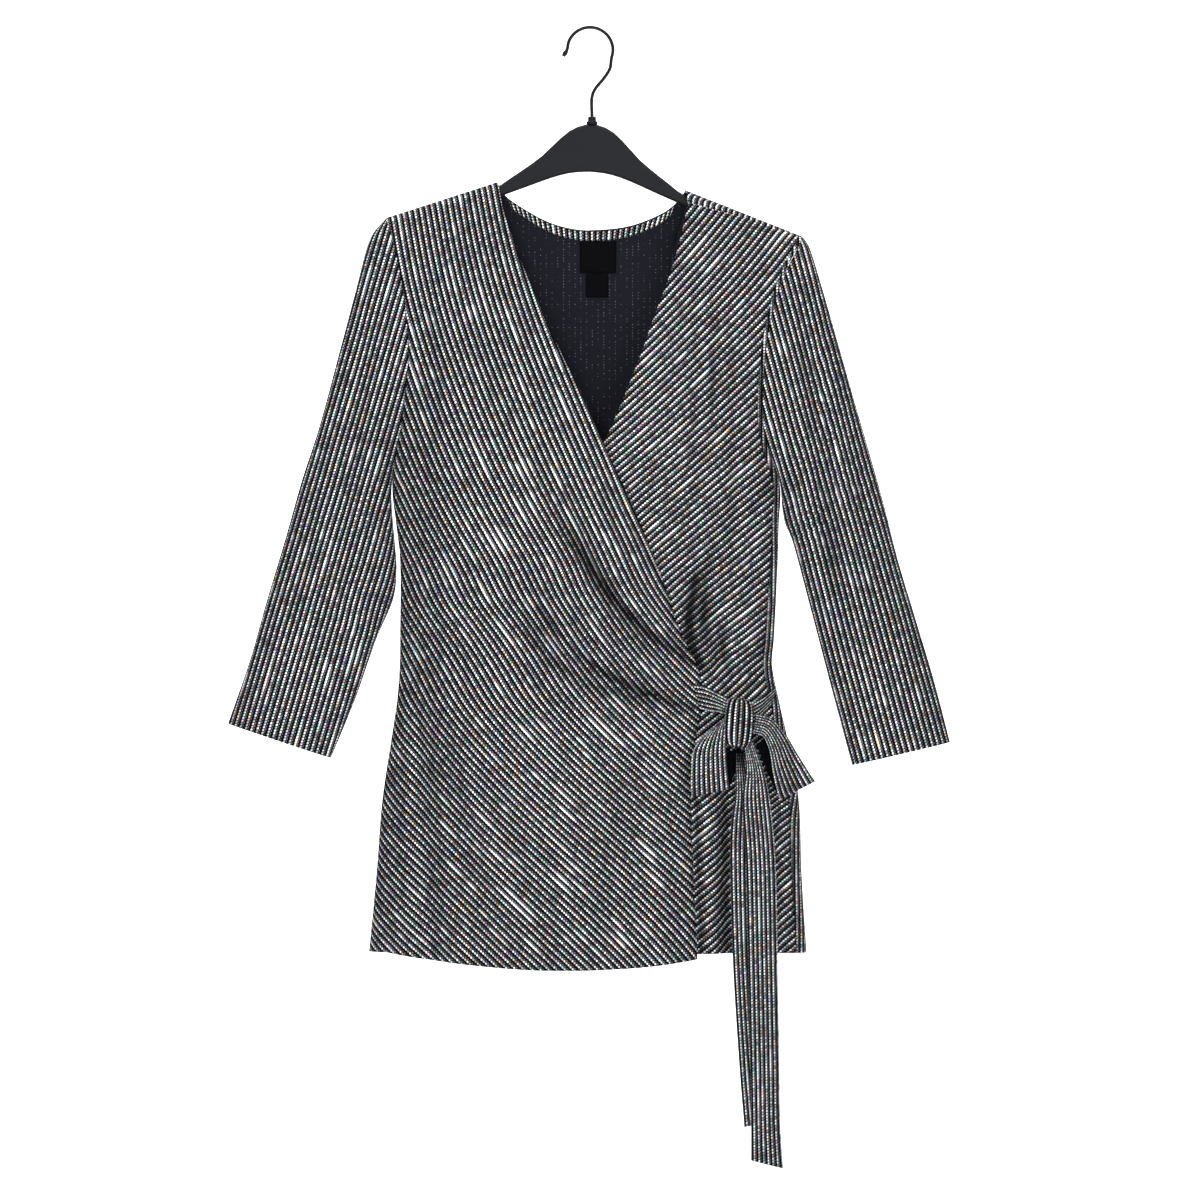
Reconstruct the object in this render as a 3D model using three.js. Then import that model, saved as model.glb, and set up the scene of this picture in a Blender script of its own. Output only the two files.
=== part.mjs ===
import * as THREE from 'three';

// A wrap top with a side bow, hung on a shaped hanger. Millimetres.
// X runs to the viewer's right, Y away from the viewer, Z up.
// The origin is the inside top of the hook, where a rail carries it.

// Driving dimensions of the cloth
const PANEL_WALL = 1.5;
const TIE_WALL = 1.8;
const TRIM_WALL = 1;
const SEAM_GAP = 0.3;
const SLEEVE_GAP = 0.45;
const WRAP_LAYER = 3;
const HIDDEN_SINK = 7.5;

// The shoulder lines, two slopes that would cross above the neck
const RIDGE_TOP = -110.9;
const LEFT_SLOPE = 0.322;
const RIGHT_SLOPE = 0.397;
const SHOULDER_ROUND = 11;
const NECK_POINT_LEFT = -82.8;
const NECK_POINT_RIGHT = 88.2;
const NECK_TURN_RIGHT = 86;
// The back's shoulder edge drops this far at the left neck point, clear of the hanger
const NECK_POINT_DROP = 3.4;
const NECK_POINT_REACH = 30;
const RIDGE_START = 0.15;
const LEFT_TIP = { x: -182.7, z: -169.73 };
const RIGHT_TIP = { x: 190.8, z: -186.648 };
const UNDERARM_Z = -412;

// On the viewer's right the back comes over the shoulder, more at the neck than at the tip
const FORWARD_SEAM_NECK = 17;
const FORWARD_SEAM_TIP = 5;

// Hems: the lowest point of each curve, its place and how fast the curve rises
const LEFT_HEM_Z = -827;
const RIGHT_HEM_Z = -831;
const OVER_HEM = { x: -9, z: -845, riseLeft: 0.0005, riseRight: 0.0009 };
const UNDER_HEM = { x: 130, z: -830, drop: 0.00009 };
const OVER_EDGE_HEM_X = 96.3;
const UNDER_EDGE_HEM_X = -80;
const BACK_HEM_SAG = 3;

// The body's sections: seam lines seen from the front, and half the depth at the middle
const BODY_SECTIONS = [
  { z: -140, left: -182.7, right: 190.8, depth: 11 },
  { z: -170, left: -182.7, right: 190.8, depth: 12.5 },
  { z: -188, left: -177.6, right: 190.6, depth: 14 },
  { z: -215, left: -171.2, right: 177.5, depth: 16 },
  { z: -244, left: -166.5, right: 166.5, depth: 18 },
  { z: -290, left: -162.5, right: 157.5, depth: 21 },
  { z: -352, left: -168.5, right: 154.8, depth: 24.5 },
  { z: -380, left: -173.5, right: 160.5, depth: 26 },
  { z: -412, left: -178, right: 171, depth: 27 },
  { z: -445, left: -174.6, right: 170, depth: 28 },
  { z: -478, left: -171, right: 169.2, depth: 28 },
  { z: -550, left: -171, right: 165.6, depth: 28 },
  { z: -572, left: -171.3, right: 164, depth: 28 },
  { z: -604, left: -173.7, right: 170, depth: 28.5 },
  { z: -640, left: -179, right: 178.2, depth: 29.5 },
  { z: -694, left: -187, right: 188, depth: 31 },
  { z: -760, left: -192.2, right: 190.5, depth: 33 },
  { z: -831, left: -199, right: 195, depth: 35 },
];

// The back neckline between the two neck points
const NECKLINE = [
  { x: -82.8, z: -138.2 },
  { x: -76.5, z: -148.5 },
  { x: -63, z: -158.6 },
  { x: -37.8, z: -172.4 },
  { x: -12.6, z: -179.2 },
  { x: 13, z: -179.6 },
  { x: 38.3, z: -175.8 },
  { x: 63.5, z: -166.1 },
  { x: 76.1, z: -157.6 },
  { x: 86, z: -146 },
];

// The free edge of the over front: neckline, down to the tie, then to the hem
const OVER_EDGE = [
  { z: -138, x: -82.8 },
  { z: -167, x: -72 },
  { z: -212, x: -54 },
  { z: -257, x: -36 },
  { z: -307, x: -13.5 },
  { z: -370, x: 15.3 },
  { z: -442, x: 46 },
  { z: -510, x: 74 },
  { z: -575, x: 98 },
  { z: -604, x: 101 },
  { z: -640, x: 94 },
  { z: -692, x: 90.5 },
  { z: -836, x: 96.3 },
];

// The free edge of the under front: neckline, then hidden below the over front
const UNDER_EDGE = [
  { z: -158, x: 88 },
  { z: -190, x: 81 },
  { z: -226, x: 70.2 },
  { z: -257, x: 58.5 },
  { z: -307, x: 40.5 },
  { z: -367, x: 15.3 },
  { z: -424, x: -13.5 },
  { z: -505, x: -54 },
  { z: -570, x: -76 },
  { z: -640, x: -80 },
  { z: -836, x: -80 },
];

// Folds: start, a point halfway, end, half widths there, and height.
// A height below zero is a trough. A fold with open: 1 runs on over the hem.
const OVER_FOLDS = [
  { x0: -84, z0: -500, x1: -8, z1: -578, x2: 92, z2: -604, w0: 8, w2: 6, height: -7, open: 0 },
  { x0: -62, z0: -468, x1: 12, z1: -552, x2: 94, z2: -592, w0: 9, w2: 5, height: 4.5, open: 0 },
  { x0: -45, z0: -361, x1: 12, z1: -502, x2: 95, z2: -582, w0: 9, w2: 5, height: -5, open: 0 },
  { x0: 2, z0: -372, x1: 44, z1: -482, x2: 99, z2: -578, w0: 8, w2: 5, height: 3.5, open: 0 },
  { x0: -128, z0: -596, x1: -84, z1: -735, x2: -50, z2: -845, w0: 18, w2: 26, height: 5, open: 1 },
  { x0: -158, z0: -590, x1: -152, z1: -690, x2: -142, z2: -835, w0: 9, w2: 13, height: -4, open: 1 },
  { x0: 56, z0: -640, x1: 28, z1: -735, x2: 22, z2: -850, w0: 10, w2: 20, height: -3.5, open: 1 },
];

const UNDER_FOLDS = [
  { x0: 99, z0: -215, x1: 101, z1: -318, x2: 99, z2: -424, w0: 9, w2: 9, height: -3, open: 0 },
  { x0: 130, z0: -350, x1: 133, z1: -415, x2: 128, z2: -485, w0: 8, w2: 8, height: -3, open: 0 },
  { x0: 146, z0: -395, x1: 149, z1: -460, x2: 146, z2: -535, w0: 6, w2: 7, height: -2.5, open: 0 },
  { x0: 98, z0: -505, x1: 112, z1: -545, x2: 122, z2: -598, w0: 8, w2: 6, height: -6, open: 0 },
  { x0: 124, z0: -655, x1: 125, z1: -740, x2: 126, z2: -836, w0: 6, w2: 9, height: -7, open: 1 },
  { x0: 152, z0: -655, x1: 152, z1: -740, x2: 154, z2: -836, w0: 9, w2: 12, height: 4, open: 1 },
  { x0: 174, z0: -675, x1: 174, z1: -750, x2: 176, z2: -836, w0: 6, w2: 8, height: -5, open: 1 },
];

const BACK_FOLDS = [
  { x0: -108, z0: -300, x1: -100, z1: -470, x2: -116, z2: -640, w0: 14, w2: 18, height: -4, open: 0 },
  { x0: -52, z0: -560, x1: -62, z1: -700, x2: -70, z2: -835, w0: 14, w2: 24, height: 5, open: 1 },
  { x0: 46, z0: -420, x1: 40, z1: -630, x2: 20, z2: -835, w0: 12, w2: 22, height: -4.5, open: 1 },
  { x0: 96, z0: -310, x1: 104, z1: -450, x2: 98, z2: -600, w0: 14, w2: 14, height: 3.5, open: 0 },
  { x0: 118, z0: -590, x1: 124, z1: -700, x2: 132, z2: -835, w0: 12, w2: 18, height: -5, open: 1 },
];

// Sleeve rings from the armhole to the cuff: outer and inner fold lines, half depth
const LEFT_RINGS = [
  { outX: -182.7, outZ: -170.3, inX: -178.4, inZ: -412, depth: 15 },
  { outX: -198, outZ: -190, inX: -178.6, inZ: -419, depth: 15 },
  { outX: -210.6, outZ: -235, inX: -178.2, inZ: -431, depth: 16 },
  { outX: -225, outZ: -289, inX: -177, inZ: -447, depth: 17 },
  { outX: -243, outZ: -356, inX: -175.3, inZ: -465, depth: 18 },
  { outX: -259.2, outZ: -406, inX: -174, inZ: -487, depth: 18 },
  { outX: -274.5, outZ: -460, inX: -177.3, inZ: -514, depth: 18 },
  { outX: -290.7, outZ: -514, inX: -192.6, inZ: -550, depth: 17 },
  { outX: -306, outZ: -568, inX: -211.5, inZ: -604, depth: 16 },
  { outX: -325.8, outZ: -625, inX: -233.1, inZ: -656, depth: 16 },
];
const RIGHT_RINGS = [
  { outX: 190.8, outZ: -187.2, inX: 171.4, inZ: -412, depth: 15 },
  { outX: 198, outZ: -199, inX: 171.8, inZ: -416, depth: 15 },
  { outX: 208.8, outZ: -233, inX: 172.2, inZ: -421, depth: 16 },
  { outX: 223.2, outZ: -282.6, inX: 172.7, inZ: -428, depth: 17 },
  { outX: 238.5, outZ: -336.6, inX: 173.5, inZ: -435, depth: 18 },
  { outX: 252, outZ: -383.4, inX: 175.9, inZ: -446, depth: 18 },
  { outX: 264.6, outZ: -428.4, inX: 182.7, inZ: -463, depth: 18 },
  { outX: 277.2, outZ: -478, inX: 193.5, inZ: -503, depth: 17 },
  { outX: 293.4, outZ: -532, inX: 207, inZ: -554.4, depth: 16 },
  { outX: 309.6, outZ: -586, inX: 221.4, inZ: -609.3, depth: 16 },
  { outX: 324, outZ: -641.7, inX: 235.8, inZ: -662.4, depth: 16 },
];
const SLEEVE_FOLDS = [
  { x0: 186, z0: -205, x1: 206, z1: -360, x2: 219, z2: -520, w0: 7, w2: 10, height: -4.5, open: 0 },
  { x0: 214, z0: -330, x1: 231, z1: -430, x2: 247, z2: -560, w0: 9, w2: 12, height: 3.5, open: 0 },
  { x0: -190, z0: -225, x1: -212, z1: -345, x2: -228, z2: -480, w0: 8, w2: 11, height: -4, open: 0 },
  { x0: -196, z0: -470, x1: -226, z1: -520, x2: -262, z2: -548, w0: 7, w2: 8, height: -3, open: 0 },
];
// Share of a sleeve's length over which it eases out of the armhole's shape
const ARMHOLE_REACH = 0.42;

// Stretches of the tie: middle line, how far it stands in front of the body, half width across
const TIE_ROOT = [
  { x: 95, z: -598, out: 1.8, wx: -3, wz: 10 },
  { x: 104, z: -602, out: 6.5, wx: -2.6, wz: 11.4 },
  { x: 112, z: -607.5, out: 10.5, wx: -1, wz: 10 },
  { x: 120.6, z: -613, out: 14, wx: 1.6, wz: 8 },
];
const SIDE_STRAP = [
  { x: 165.5, z: -600.5, out: -0.6, wx: 2.2, wz: 8 },
  { x: 159, z: -606, out: 5, wx: 2.6, wz: 9 },
  { x: 153, z: -611, out: 10.5, wx: 2, wz: 9 },
  { x: 144.9, z: -616, out: 12.6, wx: 0.4, wz: 8.5 },
];
const LEFT_LOOP = [
  { x: 116.9, z: -622.5, out: 18, wx: 4.3, wz: 3.5 },
  { x: 110.5, z: -634, out: 20, wx: 11, wz: 3 },
  { x: 106.5, z: -648, out: 21, wx: 15, wz: 1 },
  { x: 106.3, z: -666, out: 19.5, wx: 16.4, wz: 1.6 },
  { x: 107, z: -681, out: 16.5, wx: 17, wz: 3.2 },
  { x: 107.6, z: -686.2, out: 11, wx: 17, wz: 3.4 },
  { x: 108.6, z: -681, out: 6.2, wx: 17, wz: 3.2 },
  { x: 114, z: -667, out: 4.4, wx: 16.4, wz: 2 },
  { x: 121, z: -655, out: 3.6, wx: 13, wz: 1 },
  { x: 126, z: -648.5, out: 3.6, wx: 9, wz: 2 },
];
const RIGHT_LOOP = [
  { x: 146.8, z: -624, out: 18.3, wx: 1.4, wz: 8.6 },
  { x: 158.8, z: -628, out: 21, wx: 4, wz: 8.2 },
  { x: 167.8, z: -641.8, out: 21.5, wx: 7.2, wz: 8.2 },
  { x: 174.8, z: -660.3, out: 20.5, wx: 11.2, wz: 8.6 },
  { x: 183.3, z: -679.8, out: 18, wx: 15.2, wz: 8.2 },
  { x: 186.2, z: -684.7, out: 14.5, wx: 15.7, wz: 7.9 },
  { x: 182.8, z: -679.6, out: 11.2, wx: 15.6, wz: 8 },
  { x: 172, z: -662, out: 10.2, wx: 12.8, wz: 7.6 },
  { x: 162.5, z: -647.5, out: 10.2, wx: 9.4, wz: 6.5 },
  { x: 155, z: -637.5, out: 10.6, wx: 6, wz: 5 },
];
const LONG_TAIL = [
  { x: 141.6, z: -641.8, out: 15.5, wx: 4, wz: 1.8 },
  { x: 147, z: -666, out: 15, wx: 8, wz: 0 },
  { x: 148.4, z: -694, out: 13.2, wx: 12.4, wz: 0 },
  { x: 153.5, z: -748, out: 11.2, wx: 13.4, wz: 0 },
  { x: 156, z: -838, out: 11, wx: 13.4, wz: 0 },
  { x: 158, z: -928, out: 11, wx: 13.4, wz: -0.6 },
  { x: 159.5, z: -982, out: 11, wx: 13.5, wz: -2 },
  { x: 160.8, z: -1021.5, out: 11, wx: 13.8, wz: -3.7 },
];
const SHORT_TAIL = [
  { x: 135, z: -650.5, out: 10.2, wx: 5, wz: 0 },
  { x: 137, z: -668, out: 9.4, wx: 7, wz: 0 },
  { x: 138.6, z: -690, out: 8.8, wx: 9, wz: 0 },
  { x: 139, z: -714, out: 8.4, wx: 13, wz: 0 },
  { x: 139, z: -748, out: 8.2, wx: 13.2, wz: 0 },
  { x: 142, z: -838, out: 8, wx: 13, wz: 0 },
  { x: 147, z: -928, out: 8, wx: 12.6, wz: -0.6 },
  { x: 150.5, z: -987, out: 8, wx: 12.2, wz: 2.5 },
];
const KNOT = {
  x: 132.8, z: -623, out: 15.5, halfWidth: 13, halfHeight: 21.5, halfDepth: 8.5, lean: 1.5, ribs: 6,
};
// Depth of a rib as a share of the knot's radius
const RIB_DEPTH = 0.05;

// Trim inside the back neck: a band below the neckline, a label and a small tab
const NECK_BAND_WIDTH = 8.5;
const NECK_BAND_DROP = 1;
const NECK_BAND_TAPER = 0.04;
const TRIM_END_LIFT = 5.2;
const NECK_BAND_LEFT = -74;
const NECK_BAND_RIGHT = 76;
const LABEL = { left: -9, right: 23.4, top: -190.2, bottom: -218.5 };
const SIZE_TAB = { left: -3.6, right: 16.2, top: -218.9, bottom: -240.5 };

// Hanger: profile rows of the right half, mirrored, then tilted with the shoulders
const HANGER_X = 1.8;
const HANGER_TILT = 0.0375;
const HANGER_THICKNESS = 8;
const HANGER_BEVEL = 1.4;
const HANGER_PIVOT_Z = -84;
const HANGER_PROFILE = [
  { x: 0, top: -86.2, bottom: -128.6 },
  { x: 6, top: -86.5, bottom: -128.9 },
  { x: 14, top: -89.2, bottom: -129.7 },
  { x: 22, top: -94.2, bottom: -131.3 },
  { x: 32, top: -103.8, bottom: -134.4 },
  { x: 44, top: -116.2, bottom: -139 },
  { x: 58, top: -127.3, bottom: -144.8 },
  { x: 72, top: -137.4, bottom: -150.4 },
  { x: 86, top: -147.2, bottom: -155.8 },
  { x: 130, top: -161.1, bottom: -173 },
  { x: 170, top: -175.6, bottom: -188.6 },
  { x: 176.5, top: -179.8, bottom: -187.4 },
];
const COLLAR = { bottom: -86.1, top: -79.2, radius: 5, topRadius: 3.6, edge: 2.4, step: 3.4 };

// Hook: wire of 3.1 mm bent over a rail of 38 mm
const WIRE_RADIUS = 1.55;
const HOOK_RADIUS = 20.7;
const HOOK_STEM = [
  { x: 1.8, z: -78.9 },
  { x: 1.8, z: -61 },
  { x: 4.6, z: -54 },
  { x: 12, z: -45 },
  { x: 18, z: -35.5 },
];
const HOOK_END = [
  { x: -20.6, z: -18.6 },
  { x: -24.2, z: -24.6 },
];
const HOOK_TIP_RADIUS = 2.4;

// How finely each surface is divided
const ARMHOLE_ROWS = 14;
const SIDE_ROWS = 15;
const OVER_COLUMNS = 17;
const UNDER_COLUMNS = 14;
const SHOULDER_COLUMNS = 6;
const NECK_COLUMNS = 8;
const TURN_COLUMNS = 3;
const SLEEVE_AROUND = 2 * ARMHOLE_ROWS;
const SLEEVE_ALONG = 13;
const FOLD_STEPS = 30;
const RIBBON_ACROSS = 4;
const KNOT_RINGS = 10;
const KNOT_AROUND = 18;
const HANGER_STEPS = 20;
const HOOK_STEPS = 44;
const WIRE_SIDES = 8;

const MIX = THREE.MathUtils.lerp;

const foilCloth = new THREE.MeshStandardMaterial({ color: '#8f8f97', roughness: 0.5, metalness: 0.45 });
const labelSatin = new THREE.MeshStandardMaterial({ color: '#101118', roughness: 0.6, metalness: 0 });
const hangerPlastic = new THREE.MeshStandardMaterial({ color: '#15171f', roughness: 0.6, metalness: 0 });
const hookMetal = new THREE.MeshStandardMaterial({ color: '#17171a', roughness: 0.4, metalness: 0.8 });

const garment = new THREE.Group();

// Smooth curve through the rows of a table: Hermite spans whose slope at a row
// is that of the line between its two neighbours.
function curveThrough(rows, key, value) {
  const sorted = [...rows].sort((a, b) => a[key] - b[key]);
  const last = sorted.length - 1;
  const slopes = sorted.map((row, i) => {
    const before = sorted[Math.max(0, i - 1)];
    const after = sorted[Math.min(last, i + 1)];
    return (after[value] - before[value]) / (after[key] - before[key]);
  });
  return (at) => {
    const k = THREE.MathUtils.clamp(at, sorted[0][key], sorted[last][key]);
    let i = 0;
    while (i < last - 1 && k > sorted[i + 1][key]) i += 1;
    const span = sorted[i + 1][key] - sorted[i][key];
    const t = (k - sorted[i][key]) / span;
    const t2 = t * t;
    const t3 = t2 * t;
    return (2 * t3 - 3 * t2 + 1) * sorted[i][value] + (t3 - 2 * t2 + t) * span * slopes[i]
      + (3 * t2 - 2 * t3) * sorted[i + 1][value] + (t3 - t2) * span * slopes[i + 1];
  };
}

function smoothStep(low, high, at) {
  const t = THREE.MathUtils.clamp((at - low) / (high - low), 0, 1);
  return t * t * (3 - 2 * t);
}

const leftSeam = curveThrough(BODY_SECTIONS, 'z', 'left');
const rightSeam = curveThrough(BODY_SECTIONS, 'z', 'right');
const middleDepth = curveThrough(BODY_SECTIONS, 'z', 'depth');
const neckline = curveThrough(NECKLINE, 'x', 'z');
const overEdge = curveThrough(OVER_EDGE, 'z', 'x');
const underEdge = curveThrough(UNDER_EDGE, 'z', 'x');

// Height of the shoulder line above a place across the body
function ridge(x) {
  return RIDGE_TOP - (x < 0 ? -LEFT_SLOPE * x : RIGHT_SLOPE * x);
}

// Way down the cloth from the shoulder line to height z: an arc over the hanger, then straight
function wayDown(x, z) {
  const drop = Math.max(0, ridge(x) - z);
  if (drop < SHOULDER_ROUND) return SHOULDER_ROUND * Math.acos(1 - drop / SHOULDER_ROUND);
  return drop - SHOULDER_ROUND + SHOULDER_ROUND * Math.PI / 2;
}

function dropAfter(way) {
  const quarter = SHOULDER_ROUND * Math.PI / 2;
  if (way < quarter) return SHOULDER_ROUND * (1 - Math.cos(way / SHOULDER_ROUND));
  return SHOULDER_ROUND + way - quarter;
}

function shoulderRise(way) {
  return way < SHOULDER_ROUND * Math.PI / 2 ? Math.sin(way / SHOULDER_ROUND) : 1;
}

// Depth left at the seam line: the armhole stands open, the side seam is closed
function seamShare(x, z) {
  const tip = x < 0 ? LEFT_TIP.z : RIGHT_TIP.z;
  const down = THREE.MathUtils.clamp((tip - z) / (tip - UNDERARM_Z), 0, 1);
  return Math.sqrt(1 - down ** 1.1);
}

// Place between the seam lines, from -1 at the left one to 1 at the right one
function placeAcross(x, z) {
  const middle = (leftSeam(z) + rightSeam(z)) / 2;
  const half = (rightSeam(z) - leftSeam(z)) / 2;
  return THREE.MathUtils.clamp((x - middle) / half, -1, 1);
}

// Half depth of the body: a flattened oval section, full at the middle, thin at the seams
function halfDepth(x, z) {
  const across = Math.abs(placeAcross(x, z));
  const share = seamShare(x, z);
  const oval = Math.sqrt(Math.max(0, 1 - across ** 2.6));
  return middleDepth(z) * (share + (1 - share) * oval);
}

// Sum of the folds at a place: each is a bent line with a bell-shaped section
function foldHeight(folds, x, z) {
  let sum = 0;
  for (const fold of folds) {
    let best = 0;
    for (let i = 0; i <= FOLD_STEPS; i += 1) {
      const t = i / FOLD_STEPS;
      const bendX = 2 * fold.x1 - (fold.x0 + fold.x2) / 2;
      const bendZ = 2 * fold.z1 - (fold.z0 + fold.z2) / 2;
      const lineX = (1 - t) ** 2 * fold.x0 + 2 * t * (1 - t) * bendX + t * t * fold.x2;
      const lineZ = (1 - t) ** 2 * fold.z0 + 2 * t * (1 - t) * bendZ + t * t * fold.z2;
      const width = MIX(fold.w0, fold.w2, t);
      const fade = smoothStep(0, 0.3, t) * (fold.open ? 1 : 1 - smoothStep(0.75, 1, t));
      const away = ((x - lineX) ** 2 + (z - lineZ) ** 2) / width ** 2;
      best = Math.max(best, fade * Math.exp(-away));
    }
    sum += fold.height * best;
  }
  return sum;
}

// How far each panel stands out from the plain oval: its folds, and the layers of the wrap
function overRelief(x, z) {
  const inside = 1 - Math.abs(placeAcross(x, z));
  return foldHeight(OVER_FOLDS, x, z) + WRAP_LAYER * smoothStep(0, 0.25, inside);
}

function underRelief(x, z) {
  return foldHeight(UNDER_FOLDS, x, z) - HIDDEN_SINK * smoothStep(-2, 18, overEdge(z) - x);
}

function backRelief(x, z) {
  return foldHeight(BACK_FOLDS, x, z);
}

// A point of the body's surface. side is -1 for the front and 1 for the back.
// way is the distance down the cloth from the shoulder line; below zero it lies over the ridge.
function bodyPoint(x, way, side, relief) {
  const facing = way < 0 ? -side : side;
  const length = Math.abs(way);
  const z = ridge(x) - dropAfter(length);
  const inside = 1 - Math.abs(placeAcross(x, z));
  const calm = smoothStep(0.02, 0.2, inside) * smoothStep(20, 90, length);
  const depth = shoulderRise(length) * (halfDepth(x, z) + relief(x, z) * calm);
  const seam = length < 1 ? SEAM_GAP / 2 * length : SEAM_GAP / 2;
  return new THREE.Vector3(x, facing * (depth + seam), z);
}

// Outward direction of a surface, from its own small steps
function surfaceNormal(point, u, v, stepU, stepV) {
  const alongU = point(u + stepU, v).sub(point(u, v)).multiplyScalar(Math.sign(stepU));
  const alongV = point(u, v + stepV).sub(point(u, v)).multiplyScalar(Math.sign(stepV));
  return alongU.cross(alongV).normalize();
}

// A closed wall from an outer and an inner grid of points. around: the rows are rings.
function wallGeometry(outer, inner, around) {
  const rows = outer.length;
  const columns = outer[0].length;
  const positions = [];
  for (const grid of [outer, inner]) {
    for (const row of grid) {
      for (const p of row) positions.push(p.x, p.y, p.z);
    }
  }
  const inside = rows * columns;
  const at = (r, c) => r * columns + (c % columns);
  const index = [];
  const quad = (a, b, c, d) => index.push(a, b, c, a, c, d);
  const lastColumn = around ? columns : columns - 1;
  for (let r = 0; r < rows - 1; r += 1) {
    for (let c = 0; c < lastColumn; c += 1) {
      quad(at(r, c), at(r + 1, c), at(r + 1, c + 1), at(r, c + 1));
      const back = [at(r, c), at(r, c + 1), at(r + 1, c + 1), at(r + 1, c)];
      quad(...back.map((corner) => inside + corner));
    }
  }
  for (let c = 0; c < lastColumn; c += 1) {
    quad(at(0, c), at(0, c + 1), inside + at(0, c + 1), inside + at(0, c));
    quad(at(rows - 1, c + 1), at(rows - 1, c), inside + at(rows - 1, c), inside + at(rows - 1, c + 1));
  }
  if (!around) {
    for (let r = 0; r < rows - 1; r += 1) {
      quad(at(r + 1, 0), at(r, 0), inside + at(r, 0), inside + at(r + 1, 0));
      const upper = at(r, columns - 1);
      const lower = at(r + 1, columns - 1);
      quad(upper, lower, inside + lower, inside + upper);
    }
  }
  const geometry = new THREE.BufferGeometry();
  geometry.setAttribute('position', new THREE.Float32BufferAttribute(positions, 3));
  geometry.setIndex(index);
  geometry.computeVertexNormals();
  return geometry;
}

function addPiece(name, geometry, material) {
  const piece = new THREE.Mesh(geometry, material);
  piece.name = name;
  garment.add(piece);
  return piece;
}

// Rows of the body from top to bottom: close together at the shoulder and at the underarm
function rowShares(tipZ, hemZ) {
  const armhole = (UNDERARM_Z - tipZ) / (hemZ - tipZ);
  const shares = [];
  for (let i = 0; i < ARMHOLE_ROWS; i += 1) {
    shares.push(armhole * (1 - Math.cos(Math.PI * i / ARMHOLE_ROWS)) / 2);
  }
  for (let i = 0; i <= SIDE_ROWS; i += 1) shares.push(armhole + (1 - armhole) * i / SIDE_ROWS);
  return shares;
}

// A panel: its four borders are filled smoothly, in place across and way down.
// Each border point is { x, way }; the wall lies inside the outer surface.
function panelGeometry(borders, columnShares, side, relief) {
  const { left, right, top, bottom, leftShares, rightShares } = borders;
  const flip = side < 0 ? 1 : -1;
  const surface = (x, way) => bodyPoint(x, way, side, relief);
  const outer = [];
  const inner = [];
  leftShares.forEach((leftShare, i) => {
    const outerRow = [];
    const innerRow = [];
    for (const s of columnShares) {
      const t = MIX(leftShare, rightShares[i], s);
      const mixed = {};
      for (const key of ['x', 'way']) {
        const alongTop = MIX(top(s)[key], bottom(s)[key], t);
        const alongSides = MIX(left(leftShare)[key], right(rightShares[i])[key], s);
        const corners = MIX(MIX(top(0)[key], bottom(0)[key], t), MIX(top(1)[key], bottom(1)[key], t), s);
        mixed[key] = alongTop + alongSides - corners;
      }
      const stepX = s < 0.5 ? 0.02 : -0.02;
      const stepWay = mixed.way < 0.1 && mixed.way > -0.1 ? 0.5 : 0.05;
      const normal = surfaceNormal(surface, mixed.x, mixed.way, stepX, stepWay);
      const point = surface(mixed.x, mixed.way);
      outerRow.push(point);
      innerRow.push(point.clone().addScaledVector(normal, flip * PANEL_WALL));
    }
    if (flip < 0) {
      outerRow.reverse();
      innerRow.reverse();
    }
    outer.push(outerRow);
    inner.push(innerRow);
  });
  return wallGeometry(outer, inner, false);
}

// Places across a panel, close together towards the seam lines
function easeFromLeft(count) {
  return Array.from({ length: count + 1 }, (_, i) => 1 - Math.cos(Math.PI / 2 * i / count));
}

function easeToRight(count) {
  return easeFromLeft(count).map((share) => 1 - share).reverse();
}

function borderPoint(x, z) {
  return { x, way: Math.max(RIDGE_START, wayDown(x, z)) };
}

function overHem(x) {
  const away = x - OVER_HEM.x;
  return OVER_HEM.z + (away < 0 ? OVER_HEM.riseLeft : OVER_HEM.riseRight) * away * away;
}

function underHem(x) {
  return UNDER_HEM.z - UNDER_HEM.drop * (x - UNDER_HEM.x) ** 2;
}

function backHem(x) {
  const across = (x - leftSeam(LEFT_HEM_Z)) / (rightSeam(RIGHT_HEM_Z) - leftSeam(LEFT_HEM_Z));
  return MIX(LEFT_HEM_Z, RIGHT_HEM_Z, across) - 4 * BACK_HEM_SAG * across * (1 - across);
}

// How far the back comes over the viewer's right shoulder
function forwardSeam(x) {
  return MIX(FORWARD_SEAM_NECK, FORWARD_SEAM_TIP, (x - NECK_POINT_RIGHT) / (RIGHT_TIP.x - NECK_POINT_RIGHT));
}

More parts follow.
